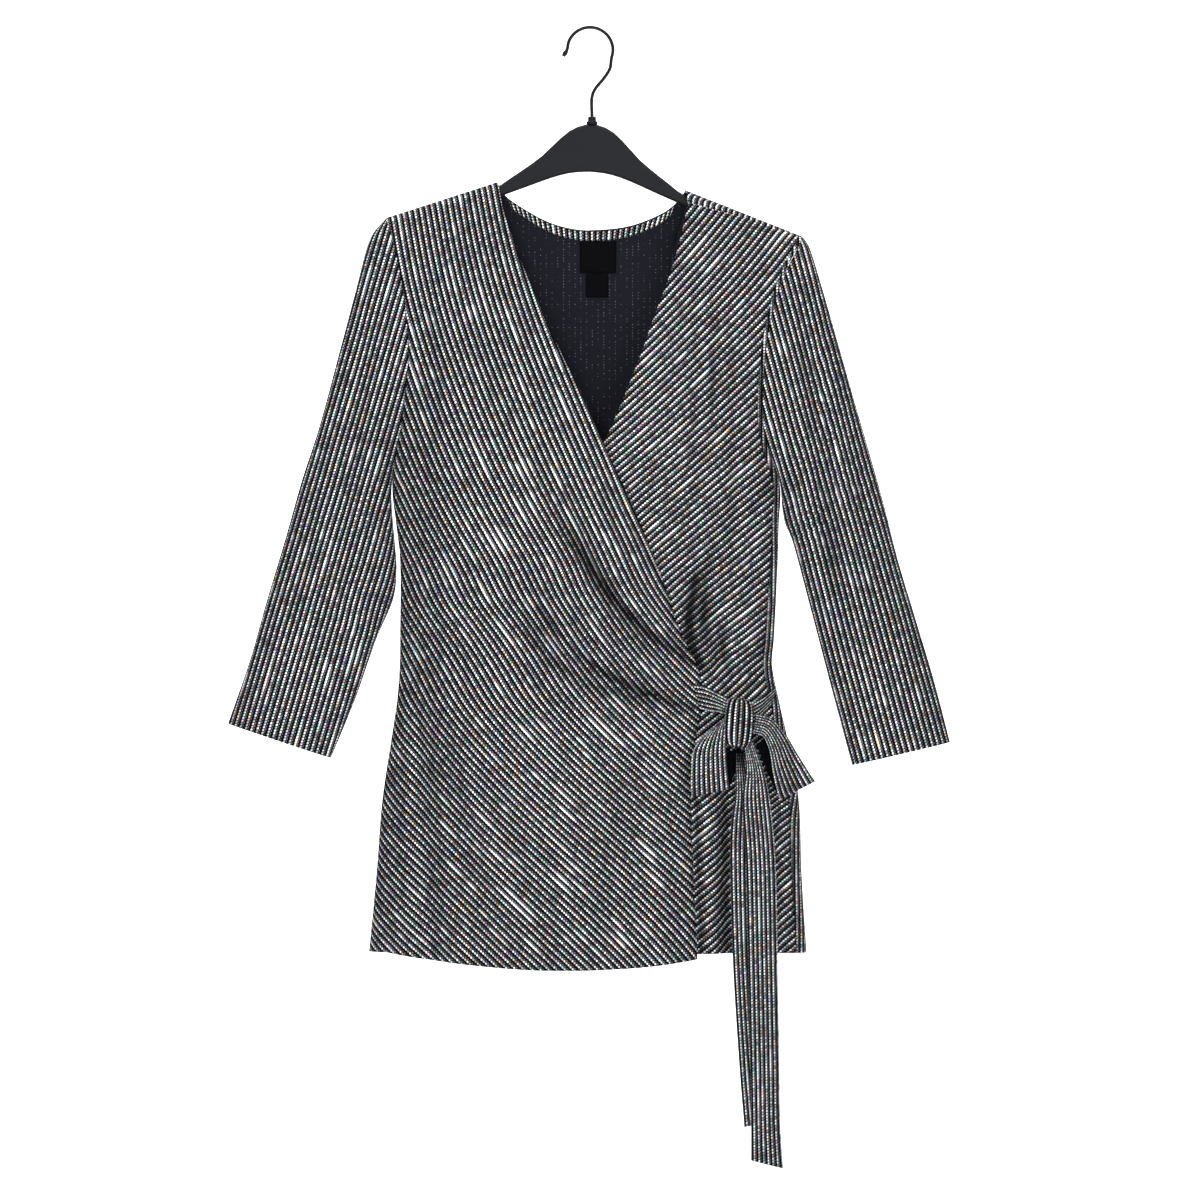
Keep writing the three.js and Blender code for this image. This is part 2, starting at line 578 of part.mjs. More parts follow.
function makeFronts() {
  const leftRows = rowShares(LEFT_TIP.z, LEFT_HEM_Z);
  const overLeft = leftSeam(LEFT_HEM_Z);
  addPiece('front_over', panelGeometry({
    left: (t) => {
      const z = MIX(LEFT_TIP.z, LEFT_HEM_Z, t);
      return borderPoint(leftSeam(z), z);
    },
    right: (t) => {
      const z = MIX(ridge(NECK_POINT_LEFT), overHem(OVER_EDGE_HEM_X), t);
      return borderPoint(overEdge(z), z);
    },
    top: (s) => ({ x: MIX(LEFT_TIP.x, NECK_POINT_LEFT, s), way: RIDGE_START }),
    bottom: (s) => {
      const x = MIX(overLeft, OVER_EDGE_HEM_X, s);
      return borderPoint(x, overHem(x));
    },
    leftShares: leftRows,
    rightShares: leftRows,
  }, easeFromLeft(OVER_COLUMNS), -1, overRelief), foilCloth);

  const rightRows = rowShares(RIGHT_TIP.z, RIGHT_HEM_Z);
  const seamTop = (x) => forwardSeam(x) + SEAM_GAP;
  const underStart = { x: underEdge(-158), way: seamTop(NECK_POINT_RIGHT) };
  const startZ = ridge(underStart.x) - dropAfter(underStart.way);
  const tipZ = ridge(RIGHT_TIP.x) - dropAfter(seamTop(RIGHT_TIP.x));
  addPiece('front_under', panelGeometry({
    left: (t) => {
      const z = MIX(startZ, underHem(UNDER_EDGE_HEM_X), t);
      return borderPoint(underEdge(z), z);
    },
    right: (t) => {
      const z = Math.min(tipZ, MIX(RIGHT_TIP.z, RIGHT_HEM_Z, t));
      return borderPoint(rightSeam(z), z);
    },
    top: (s) => {
      const x = MIX(underStart.x, RIGHT_TIP.x, s);
      return { x, way: seamTop(x) };
    },
    bottom: (s) => {
      const x = MIX(UNDER_EDGE_HEM_X, rightSeam(RIGHT_HEM_Z), s);
      return borderPoint(x, underHem(x));
    },
    leftShares: rightRows,
    rightShares: rightRows,
  }, easeToRight(UNDER_COLUMNS), -1, underRelief), foilCloth);
}

// Top border of the back: left shoulder, neckline, then over the right shoulder
function backTop(x) {
  if (x <= NECK_POINT_LEFT) {
    const nearNeck = smoothStep(NECK_POINT_LEFT - NECK_POINT_REACH, NECK_POINT_LEFT, x);
    return { x, way: RIDGE_START + NECK_POINT_DROP * nearNeck };
  }
  if (x <= NECK_TURN_RIGHT) return borderPoint(x, neckline(x));
  const turn = Math.min(1, (x - NECK_TURN_RIGHT) / (NECK_POINT_RIGHT - NECK_TURN_RIGHT));
  return { x, way: -turn * forwardSeam(Math.max(x, NECK_POINT_RIGHT)) };
}

function makeBack() {
  const width = RIGHT_TIP.x - LEFT_TIP.x;
  const neckStart = (NECK_POINT_LEFT - LEFT_TIP.x) / width;
  const neckEnd = (NECK_TURN_RIGHT - LEFT_TIP.x) / width;
  const seamStart = (NECK_POINT_RIGHT - LEFT_TIP.x) / width;
  const shares = [
    ...easeFromLeft(SHOULDER_COLUMNS).map((s) => s * neckStart),
    ...Array.from({ length: NECK_COLUMNS }, (_, i) => MIX(neckStart, neckEnd, (i + 1) / NECK_COLUMNS)),
    ...Array.from({ length: TURN_COLUMNS }, (_, i) => MIX(neckEnd, seamStart, (i + 1) / (TURN_COLUMNS + 1))),
    ...easeToRight(SHOULDER_COLUMNS).map((s) => MIX(seamStart, 1, s)),
  ];
  const tipWay = -forwardSeam(RIGHT_TIP.x);
  const armholeShare = (UNDERARM_Z - RIGHT_TIP.z) / (RIGHT_HEM_Z - RIGHT_TIP.z);
  addPiece('back', panelGeometry({
    left: (t) => {
      const z = MIX(LEFT_TIP.z, LEFT_HEM_Z, t);
      return borderPoint(leftSeam(z), z);
    },
    right: (t) => {
      const z = MIX(RIGHT_TIP.z, RIGHT_HEM_Z, t);
      const nearTip = 1 - smoothStep(0, armholeShare * 0.2, t);
      const way = wayDown(rightSeam(z), z) + tipWay * nearTip;
      const seamZ = ridge(rightSeam(z)) - dropAfter(Math.abs(way));
      return { x: rightSeam(seamZ) - SLEEVE_GAP * nearTip, way };
    },
    top: (s) => backTop(MIX(LEFT_TIP.x, RIGHT_TIP.x, s)),
    bottom: (s) => {
      const x = MIX(leftSeam(LEFT_HEM_Z), rightSeam(RIGHT_HEM_Z), s);
      return borderPoint(x, backHem(x));
    },
    leftShares: rowShares(LEFT_TIP.z, LEFT_HEM_Z),
    rightShares: rowShares(RIGHT_TIP.z, RIGHT_HEM_Z),
  }, shares, 1, backRelief), foilCloth);
}

// Trim on the inside of the back, made from the back's own points moved in
function innerTrim(name, columns, rows, placeAt, material) {
  const surface = (x, way) => bodyPoint(x, way, 1, backRelief);
  const outer = [];
  const inner = [];
  for (let r = 0; r <= rows; r += 1) {
    const outerRow = [];
    const innerRow = [];
    for (let c = columns; c >= 0; c -= 1) {
      const { x, z } = placeAt(c / columns, r / rows);
      const way = wayDown(x, z);
      const normal = surfaceNormal(surface, x, way, 0.05, 0.05);
      const clear = PANEL_WALL + SEAM_GAP + TRIM_END_LIFT * (x / NECK_POINT_RIGHT) ** 4;
      outerRow.push(surface(x, way).addScaledVector(normal, -clear));
      innerRow.push(surface(x, way).addScaledVector(normal, -clear - TRIM_WALL));
    }
    outer.push(outerRow);
    inner.push(innerRow);
  }
  addPiece(name, wallGeometry(outer, inner, false), material);
}

function makeNeckTrim() {
  innerTrim('back_neck_band', 22, 2, (s, t) => {
    const x = MIX(NECK_BAND_LEFT, NECK_BAND_RIGHT, s);
    const drop = NECK_BAND_DROP + NECK_BAND_WIDTH * t;
    return { x: x * (1 - NECK_BAND_TAPER * t), z: neckline(x) - drop };
  }, foilCloth);
  const patch = (size) => (s, t) => ({ x: MIX(size.left, size.right, s), z: MIX(size.top, size.bottom, t) });
  innerTrim('neck_label', 4, 3, patch(LABEL), labelSatin);
  innerTrim('size_tab', 3, 2, patch(SIZE_TAB), labelSatin);
}

// A sleeve: rings between an outer and an inner fold line, which start on the armhole
function makeSleeve(name, rings, tip) {
  const outward = Math.sign(tip.x);
  const numbered = rings.map((ring, i) => ({ ...ring, at: i / (rings.length - 1) }));
  const column = (value) => curveThrough(numbered, 'at', value);
  const outX = column('outX');
  const outZ = column('outZ');
  const inX = column('inX');
  const inZ = column('inZ');
  const depth = column('depth');
  const seam = outward < 0 ? leftSeam : rightSeam;
  const ringPoint = (at, angle) => {
    const share = (1 - Math.cos(angle)) / 2;
    const y = -depth(at) * Math.sign(Math.sin(angle)) * Math.abs(Math.sin(angle)) ** 0.75;
    return new THREE.Vector3(MIX(outX(at), inX(at), share), y, MIX(outZ(at), inZ(at), share));
  };
  const armholePoint = (angle) => {
    const z = MIX(tip.z, UNDERARM_Z, (1 - Math.cos(angle)) / 2);
    const x = seam(z);
    const side = Math.sin(angle) > 0 ? -1 : 1;
    const depthThere = shoulderRise(wayDown(x, z)) * halfDepth(x, z);
    return new THREE.Vector3(x + outward * SLEEVE_GAP, side * depthThere, z);
  };
  const surface = (at, angle) => {
    const point = ringPoint(at, angle);
    const pull = Math.max(0, 1 - at / ARMHOLE_REACH) ** 2;
    point.addScaledVector(armholePoint(angle).sub(ringPoint(0, angle)), pull);
    const calm = smoothStep(0, 0.12, at) * Math.abs(Math.sin(angle)) ** 1.5;
    point.y -= foldHeight(SLEEVE_FOLDS, point.x, point.z) * calm * Math.sign(Math.sin(angle));
    return point;
  };
  const outer = [];
  const inner = [];
  for (let r = 0; r <= SLEEVE_ALONG; r += 1) {
    const at = (r / SLEEVE_ALONG) ** 1.25;
    const outerRow = [];
    const innerRow = [];
    for (let c = 0; c < SLEEVE_AROUND; c += 1) {
      const angle = -outward * 2 * Math.PI * c / SLEEVE_AROUND;
      const point = surface(at, angle);
      const stepAt = r === SLEEVE_ALONG ? -0.002 : 0.002;
      const before = surface(at, angle - 0.02);
      const after = surface(at, angle + 0.02);
      const along = surface(at + stepAt, angle).sub(point).multiplyScalar(Math.sign(stepAt));
      const inward = along.cross(after.sub(before)).multiplyScalar(outward);
      if (r === 0) inward.x = 0;
      outerRow.push(point);
      innerRow.push(point.clone().addScaledVector(inward.normalize(), PANEL_WALL));
    }
    outer.push(outerRow);
    inner.push(innerRow);
  }
  addPiece(name, wallGeometry(outer, inner, true), foilCloth);
}

// The surface that the tie lies in front of: the body without its folds
function bodyFront(x, z) {
  return -halfDepth(x, z) - WRAP_LAYER;
}

// A stretch of the tie: a flat ribbon along its middle line, slightly crowned
function makeRibbon(name, rows, steps, crown) {
  const numbered = rows.map((row, i) => ({ ...row, at: i / (rows.length - 1) }));
  const column = (value) => curveThrough(numbered, 'at', value);
  const x = column('x');
  const z = column('z');
  const out = column('out');
  const wx = column('wx');
  const wz = column('wz');
  const across = RIBBON_ACROSS;
  const outer = [];
  for (let r = 0; r <= steps; r += 1) {
    const at = r / steps;
    const row = [];
    for (let c = 0; c <= across; c += 1) {
      const v = 2 * c / across - 1;
      const px = x(at) + v * wx(at);
      const pz = z(at) + v * wz(at);
      row.push(new THREE.Vector3(px, bodyFront(px, pz) - out(at) - crown * (1 - v * v), pz));
    }
    outer.push(row);
  }
  const inner = outer.map((row, r) => row.map((point, c) => {
    const up = outer[Math.max(0, r - 1)][c];
    const down = outer[Math.min(steps, r + 1)][c];
    const before = row[Math.max(0, c - 1)];
    const after = row[Math.min(across, c + 1)];
    const normal = down.clone().sub(up).cross(after.clone().sub(before)).normalize();
    return point.clone().addScaledVector(normal, -TIE_WALL);
  }));
  addPiece(name, wallGeometry(outer, inner, false), foilCloth);
}

// The knot: a closed barrel with shallow ribs, where the tie wraps over itself
function makeKnot() {
  const rings = KNOT_RINGS;
  const around = KNOT_AROUND;
  const centreY = bodyFront(KNOT.x, KNOT.z) - KNOT.out;
  const positions = [KNOT.x, centreY, KNOT.z + KNOT.halfHeight];
  for (let r = 1; r < rings; r += 1) {
    const up = Math.cos(Math.PI * r / rings);
    const girth = Math.sin(Math.PI * r / rings) ** 0.7;
    for (let c = 0; c < around; c += 1) {
      const angle = 2 * Math.PI * c / around;
      const rib = 1 - RIB_DEPTH * (1 - Math.cos(angle * KNOT.ribs)) / 2;
      const x = KNOT.x + KNOT.halfWidth * girth * rib * Math.cos(angle) + KNOT.lean * up;
      const y = centreY + KNOT.halfDepth * girth * rib * Math.sin(angle);
      positions.push(x, y, KNOT.z + KNOT.halfHeight * up);
    }
  }
  positions.push(KNOT.x, centreY, KNOT.z - KNOT.halfHeight);
  const last = positions.length / 3 - 1;
  const at = (r, c) => 1 + (r - 1) * around + (c % around);
  const index = [];
  for (let c = 0; c < around; c += 1) {
    index.push(0, at(1, c), at(1, c + 1));
    for (let r = 1; r < rings - 1; r += 1) {
      index.push(at(r, c), at(r + 1, c), at(r + 1, c + 1), at(r, c), at(r + 1, c + 1), at(r, c + 1));
    }
    index.push(last, at(rings - 1, c + 1), at(rings - 1, c));
  }
  const geometry = new THREE.BufferGeometry();
  geometry.setAttribute('position', new THREE.Float32BufferAttribute(positions, 3));
  geometry.setIndex(index);
  geometry.computeVertexNormals();
  addPiece('tie_knot', geometry, foilCloth);
}

function makeTie() {
  makeRibbon('tie_root', TIE_ROOT, 6, 1);
  makeRibbon('tie_side_strap', SIDE_STRAP, 5, 0.8);
  makeRibbon('tie_loop_left', LEFT_LOOP, 22, 1.2);
  makeRibbon('tie_loop_right', RIGHT_LOOP, 22, 1.2);
  makeRibbon('tie_tail_long', LONG_TAIL, 18, 0.8);
  makeRibbon('tie_tail_short', SHORT_TAIL, 17, 0.6);
  makeKnot();
}

// The hanger: its outline, extruded with a small bevel all round
function makeHanger() {
  const top = curveThrough(HANGER_PROFILE, 'x', 'top');
  const bottom = curveThrough(HANGER_PROFILE, 'x', 'bottom');
  const reach = HANGER_PROFILE.at(-1).x;
  const places = Array.from({ length: HANGER_STEPS * 2 + 1 }, (_, i) => {
    const share = i / HANGER_STEPS - 1;
    return reach * Math.sign(share) * Math.abs(share) ** 1.15;
  });
  const outline = [
    ...places.map((x) => new THREE.Vector2(x, bottom(Math.abs(x)))),
    ...places.map((x) => new THREE.Vector2(x, top(Math.abs(x)))).reverse(),
  ];
  const geometry = new THREE.ExtrudeGeometry(new THREE.Shape(outline), {
    depth: HANGER_THICKNESS - 2 * HANGER_BEVEL,
    bevelThickness: HANGER_BEVEL,
    bevelSize: HANGER_BEVEL,
    bevelOffset: -HANGER_BEVEL,
    bevelSegments: 1,
    steps: 1,
  });
  geometry.translate(0, -HANGER_PIVOT_Z, HANGER_BEVEL - HANGER_THICKNESS / 2);
  const body = addPiece('hanger_body', geometry, hangerPlastic);
  body.position.set(HANGER_X, 0, HANGER_PIVOT_Z);
  body.rotation.set(Math.PI / 2, HANGER_TILT, 0, 'YXZ');

  const collar = new THREE.LatheGeometry([
    new THREE.Vector2(0, 0),
    new THREE.Vector2(COLLAR.radius, 0),
    new THREE.Vector2(COLLAR.radius, COLLAR.edge),
    new THREE.Vector2(COLLAR.topRadius, COLLAR.step),
    new THREE.Vector2(COLLAR.topRadius, COLLAR.top - COLLAR.bottom),
    new THREE.Vector2(0, COLLAR.top - COLLAR.bottom),
  ], 20);
  collar.rotateX(Math.PI / 2);
  addPiece('hook_collar', collar, hangerPlastic).position.set(HANGER_X, 0, COLLAR.bottom);
}

// The hook: stem, bend and arc as one wire that thickens to a round tip
function makeHook() {
  const arc = [];
  for (let degrees = -22; degrees <= 166; degrees += 20) {
    const angle = THREE.MathUtils.degToRad(degrees);
    arc.push({
      x: HOOK_RADIUS * Math.cos(angle),
      z: WIRE_RADIUS - HOOK_RADIUS + HOOK_RADIUS * Math.sin(angle),
    });
  }
  const points = [...HOOK_STEM, ...arc, ...HOOK_END].map(({ x, z }) => new THREE.Vector3(x, 0, z));
  const route = new THREE.CatmullRomCurve3(points, false, 'centripetal');
  const steps = HOOK_STEPS;
  const sides = WIRE_SIDES;
  const positions = [];
  const index = [];
  for (let i = 0; i <= steps; i += 1) {
    const share = i / steps;
    const centre = route.getPointAt(share);
    const heading = route.getTangentAt(share);
    const across = new THREE.Vector3(heading.z, 0, -heading.x);
    const radius = WIRE_RADIUS + (HOOK_TIP_RADIUS - WIRE_RADIUS) * smoothStep(0.955, 0.975, share);
    const shrink = share === 1 ? 0.55 : 1;
    for (let k = 0; k < sides; k += 1) {
      const angle = 2 * Math.PI * k / sides;
      const p = centre.clone().addScaledVector(across, radius * shrink * Math.cos(angle));
      positions.push(p.x, radius * shrink * Math.sin(angle), p.z);
    }
  }
  const first = (steps + 1) * sides;
  const start = route.getPointAt(0);
  const end = route.getPointAt(1);
  positions.push(start.x, 0, start.z, end.x, 0, end.z);
  for (let k = 0; k < sides; k += 1) {
    const next = (k + 1) % sides;
    for (let i = 0; i < steps; i += 1) {
      const a = i * sides + k;
      const b = i * sides + next;
      index.push(a, b, b + sides, a, b + sides, a + sides);
    }
    index.push(first, next, k);
    index.push(first + 1, steps * sides + k, steps * sides + next);
  }
  const geometry = new THREE.BufferGeometry();
  geometry.setAttribute('position', new THREE.Float32BufferAttribute(positions, 3));
  geometry.setIndex(index);
  geometry.computeVertexNormals();
  addPiece('hook', geometry, hookMetal);
}

makeFronts();
makeBack();
makeNeckTrim();
makeSleeve('sleeve_left', LEFT_RINGS, LEFT_TIP);
makeSleeve('sleeve_right', RIGHT_RINGS, RIGHT_TIP);
makeTie();
makeHanger();
makeHook();

export default garment;
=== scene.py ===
# %% [markdown]
# # A wrap top in foil-dotted jersey, on a hanger
#
# The real garment is cut from a thin black jersey on which rows of silver foil
# dots are printed. It has two fronts that cross, one back, two long sleeves
# and a tie that ends in a bow with two free ends. This script dresses a packed
# solid model of it: each cloth piece becomes a thin curved shell with the
# dotted cloth on its right side and the black jersey on its wrong side.
#
# The solid model is loaded first and never moved. Everything is made in its
# frame: X across the shoulders, Y from front to back, Z up, and the origin at
# the inside top of the hook.

# %% Load the solid model
import bpy
import numpy as np
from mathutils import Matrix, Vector


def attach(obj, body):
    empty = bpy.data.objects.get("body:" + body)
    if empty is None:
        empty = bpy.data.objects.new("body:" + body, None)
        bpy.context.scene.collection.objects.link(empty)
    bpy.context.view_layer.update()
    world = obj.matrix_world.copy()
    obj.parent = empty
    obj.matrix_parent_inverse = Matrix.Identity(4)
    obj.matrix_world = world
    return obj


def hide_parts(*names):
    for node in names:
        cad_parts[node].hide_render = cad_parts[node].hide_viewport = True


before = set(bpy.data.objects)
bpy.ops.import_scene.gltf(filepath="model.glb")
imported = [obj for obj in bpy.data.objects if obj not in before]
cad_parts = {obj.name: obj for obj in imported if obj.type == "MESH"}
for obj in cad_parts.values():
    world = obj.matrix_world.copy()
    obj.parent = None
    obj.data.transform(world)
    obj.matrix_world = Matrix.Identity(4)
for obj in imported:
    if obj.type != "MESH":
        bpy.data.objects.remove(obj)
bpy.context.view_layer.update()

# %% [markdown]
# ## Short tables and smooth curves
#
# A tailor's pattern is a few measured points joined by smooth lines. It could
# be drawn by hand with Bezier curves, but numbers in a table are easier to
# check, so each outline here is a short table in millimetres and a function
# that runs a smooth curve through its rows.

# %% Tables and curves
MM = 0.001


def table(columns, *rows):
    """Named columns of a short table, in millimetres."""
    return dict(zip(columns.split(), np.array(rows, float).T))


def mix(a, b, share):
    return a + (b - a) * share


def smooth_step(low, high, at):
    """0 below low, 1 above high, and 3t^2 - 2t^3 between."""
    t = np.clip((at - low) / (high - low), 0, 1)
    return t * t * (3 - 2 * t)


def curve_through(rows, key, value):
    """Hermite spans from row to row. The slope at a row is that of the straight
    line between its two neighbours."""
    order = np.argsort(rows[key])
    at, height = rows[key][order], rows[value][order]
    number = np.arange(len(at))
    before, after = np.maximum(number - 1, 0), np.minimum(number + 1, len(at) - 1)
    slope = (height[after] - height[before]) / (at[after] - at[before])

    def curve(where):
        k = np.clip(where, at[0], at[-1])
        i = np.clip(np.searchsorted(at, k) - 1, 0, len(at) - 2)
        span = at[i + 1] - at[i]
        t = (k - at[i]) / span
        start = (2 * t**3 - 3 * t**2 + 1) * height[i] + (t**3 - 2 * t**2 + t) * span * slope[i]
        return start + (3 * t**2 - 2 * t**3) * height[i + 1] + (t**3 - t**2) * span * slope[i + 1]

    return curve


# %% [markdown]
# ## The body's form
#
# On its hanger the top is a flat, closed oval: full in the middle, thin at the
# side seams, and open at the armholes. It could be found by cloth simulation,
# but a simulated top would not hang with the same creases as the real one. So
# the form is a formula: outline curves give the width at each height, and an
# oval section gives the depth.

# %% The body's outline and depth
RIDGE_TOP, LEFT_SLOPE, RIGHT_SLOPE = -110.9, 0.322, 0.397
SHOULDER_ROUND = 11
QUARTER_ROUND = SHOULDER_ROUND * np.pi / 2
RIDGE_START = 0.15
NECK_POINT_LEFT, NECK_POINT_RIGHT, NECK_TURN_RIGHT = -82.8, 88.2, 86
LEFT_TIP, RIGHT_TIP = (-182.7, -169.73), (190.8, -186.648)
NECK_POINT_DROP, NECK_POINT_REACH = 3.4, 30
UNDERARM_Z = -412
SEAM_GAP, SLEEVE_GAP, WRAP_LAYER, HIDDEN_SINK = 0.3, 0.45, 3, 7.5
OVAL_POWER, ARMHOLE_POWER = 2.6, 1.1

BODY_SECTIONS = table(
    "z left right depth",
    (-140, -182.7, 190.8, 11),
    (-170, -182.7, 190.8, 12.5),
    (-188, -177.6, 190.6, 14),
    (-215, -171.2, 177.5, 16),
    (-244, -166.5, 166.5, 18),
    (-290, -162.5, 157.5, 21),
    (-352, -168.5, 154.8, 24.5),
    (-380, -173.5, 160.5, 26),
    (-412, -178, 171, 27),
    (-445, -174.6, 170, 28),
    (-478, -171, 169.2, 28),
    (-550, -171, 165.6, 28),
    (-572, -171.3, 164, 28),
    (-604, -173.7, 170, 28.5),
    (-640, -179, 178.2, 29.5),
    (-694, -187, 188, 31),
    (-760, -192.2, 190.5, 33),
    (-831, -199, 195, 35),
)
left_seam = curve_through({"z": BODY_SECTIONS["z"], "x": BODY_SECTIONS["left"]}, "z", "x")
right_seam = curve_through({"z": BODY_SECTIONS["z"], "x": BODY_SECTIONS["right"]}, "z", "x")
middle_depth = curve_through(BODY_SECTIONS, "z", "depth")


def ridge(x):
    """Height of the shoulder line: two straight slopes that meet at x = 0."""
    return RIDGE_TOP - np.where(x < 0, -LEFT_SLOPE * x, RIGHT_SLOPE * x)


def way_down(x, z):
    """Way down the cloth from the shoulder line to height z: a quarter circle
    over the hanger, then straight down."""
    drop = np.maximum(0, ridge(x) - z)
    arc = SHOULDER_ROUND * np.arccos(np.clip(1 - drop / SHOULDER_ROUND, -1, 1))
    return np.where(drop < SHOULDER_ROUND, arc, drop - SHOULDER_ROUND + QUARTER_ROUND)


def drop_after(way):
    """The opposite of way_down: how far below the shoulder line a way reaches."""
    arc = SHOULDER_ROUND * (1 - np.cos(way / SHOULDER_ROUND))
    return np.where(way < QUARTER_ROUND, arc, SHOULDER_ROUND + way - QUARTER_ROUND)


def place_across(x, z):
    """-1 at the left side seam, 1 at the right one."""
    left, right = left_seam(z), right_seam(z)
    return np.clip((2 * x - left - right) / (right - left), -1, 1)


def half_depth(x, z):
    """Middle depth times an oval, (1 - |place|^p)^(1/2). At the armhole a share
    of the full depth is left at the seam line, so that it stands open."""
    tip = np.where(x < 0, LEFT_TIP[1], RIGHT_TIP[1])
    down = np.clip((tip - z) / (tip - UNDERARM_Z), 0, 1)
    share = np.sqrt(1 - down**ARMHOLE_POWER)
    oval = np.sqrt(np.maximum(0, 1 - np.abs(place_across(x, z)) ** OVAL_POWER))
    return middle_depth(z) * (share + (1 - share) * oval)


# %% [markdown]
# ## Folds
#
# Jersey falls in soft folds, and at the bow it is drawn together in gathers.
# They could be sculpted by hand or left to a simulation. Here each fold is one
# row of a table: a bent line with a bell-shaped section. The larger ones are
# in the solid model too; the finer gathers are added here.

# %% Fold tables
FOLD_STEPS, FADED_IN, FADING_OUT = 30, 0.3, 0.75
FOLD_GAIN, FINE_SHARE, RIPPLE_HEIGHT = 1.5, 0.45, 0.28

OVER_FOLDS = table(
    "x0 z0 x1 z1 x2 z2 w0 w2 height open",
    (-84, -500, -8, -578, 92, -604, 8, 6, -7, 0),
    (-62, -468, 12, -552, 94, -592, 9, 5, 4.5, 0),
    (-45, -361, 12, -502, 95, -582, 9, 5, -5, 0),
    (2, -372, 44, -482, 99, -578, 8, 5, 3.5, 0),
    (-128, -596, -84, -735, -50, -845, 18, 26, 5, 1),
    (-158, -590, -152, -690, -142, -835, 9, 13, -4, 1),
    (56, -640, 28, -735, 22, -850, 10, 20, -3.5, 1),
)
FINE_OVER_FOLDS = table(
    "x0 z0 x1 z1 x2 z2 w0 w2 height open",
    (-56, -488, -10, -563, 92, -611, 5, 4, -4.6, 1),
    (-40, -520, 2, -580, 88, -622, 6, 4, 2.4, 1),
    (-20, -440, 20, -511, 93, -572, 5, 4, -4.2, 1),
    (0, -430, 37, -503, 86, -554, 4, 3, 2, 0),
    (-44, -450, 6, -535, 90, -592, 8, 5, 2.4, 0),
    (22, -450, 45, -512, 84, -560, 3, 3, -2.8, 1),
    (-38, -416, -26, -446, -12, -474, 4, 4, -1.8, 0),
    (-84, -520, -48, -590, 14, -630, 4, 5, -2, 0),
    (-118, -470, -66, -560, 4, -610, 6, 5, 1.8, 0),
    (-40, -640, 30, -652, 92, -640, 5, 4, -1.6, 0),
    (-70, -640, 14, -672, 90, -662, 7, 5, 1.8, 0),
    (-120, -240, -92, -350, -70, -450, 9, 10, 1.6, 0),
    (-156, -210, -140, -330, -150, -430, 6, 8, -1.8, 0),
    (-60, -190, -46, -300, -20, -400, 5, 6, -1.4, 0),
    (-100, -640, -62, -740, -30, -850, 6, 9, -2, 1),
    (-130, -600, -100, -720, -80, -850, 6, 9, 1.8, 1),
    (40, -700, 60, -770, 66, -845, 7, 10, 1.8, 1),
    (60, -660, 78, -740, 82, -845, 5, 6, -1.6, 1),
)
UNDER_FOLDS = table(
    "x0 z0 x1 z1 x2 z2 w0 w2 height open",
    (99, -215, 101, -318, 99, -424, 9, 9, -3, 0),
    (130, -350, 133, -415, 128, -485, 8, 8, -3, 0),
    (146, -395, 149, -460, 146, -535, 6, 7, -2.5, 0),
    (98, -505, 112, -545, 122, -598, 8, 6, -6, 0),
    (124, -655, 125, -740, 126, -836, 6, 9, -7, 1),
    (152, -655, 152, -740, 154, -836, 9, 12, 4, 1),
    (174, -675, 174, -750, 176, -836, 6, 8, -5, 1),
)
FINE_UNDER_FOLDS = table(
    "x0 z0 x1 z1 x2 z2 w0 w2 height open",
    (103, -470, 89, -528, 98, -574, 5, 6, -5, 1),
    (114, -440, 103, -510, 103, -580, 5, 6, -2.6, 0),
    (104, -385, 92, -425, 78, -455, 4, 5, -2.2, 0),
    (150, -480, 138, -550, 128, -598, 6, 4, 2, 0),
    (118, -450, 120, -540, 126, -600, 5, 4, -1.8, 0),
    (160, -520, 150, -570, 140, -602, 5, 4, -2.2, 0),
    (138, -650, 139, -740, 140, -836, 4, 6, 1.8, 1),
    (163, -650, 164, -740, 165, -836, 4, 5, -1.8, 1),
    (109, -212, 110, -300, 106, -376, 4, 4.5, -2.4, 0),
    (118, -225, 119, -310, 116, -390, 4, 5, 1.8, 0),
    (127, -236, 129, -322, 124, -404, 3.5, 4, -2.2, 0),
    (155, -262, 156, -342, 151, -425, 3.5, 4.5, -2.2, 0),
    (177, -348, 166, -396, 140, -440, 3.5, 5, -2.6, 0),
    (179, -372, 169, -414, 148, -452, 4, 5, 2.2, 0),
    (95, -646, 97.5, -740, 101, -842, 4, 4, -4.5, 1),
)
BACK_FOLDS = table(
    "x0 z0 x1 z1 x2 z2 w0 w2 height open",
    (-108, -300, -100, -470, -116, -640, 14, 18, -4, 0),
    (-52, -560, -62, -700, -70, -835, 14, 24, 5, 1),
    (46, -420, 40, -630, 20, -835, 12, 22, -4.5, 1),
    (96, -310, 104, -450, 98, -600, 14, 14, 3.5, 0),
    (118, -590, 124, -700, 132, -835, 12, 18, -5, 1),
)

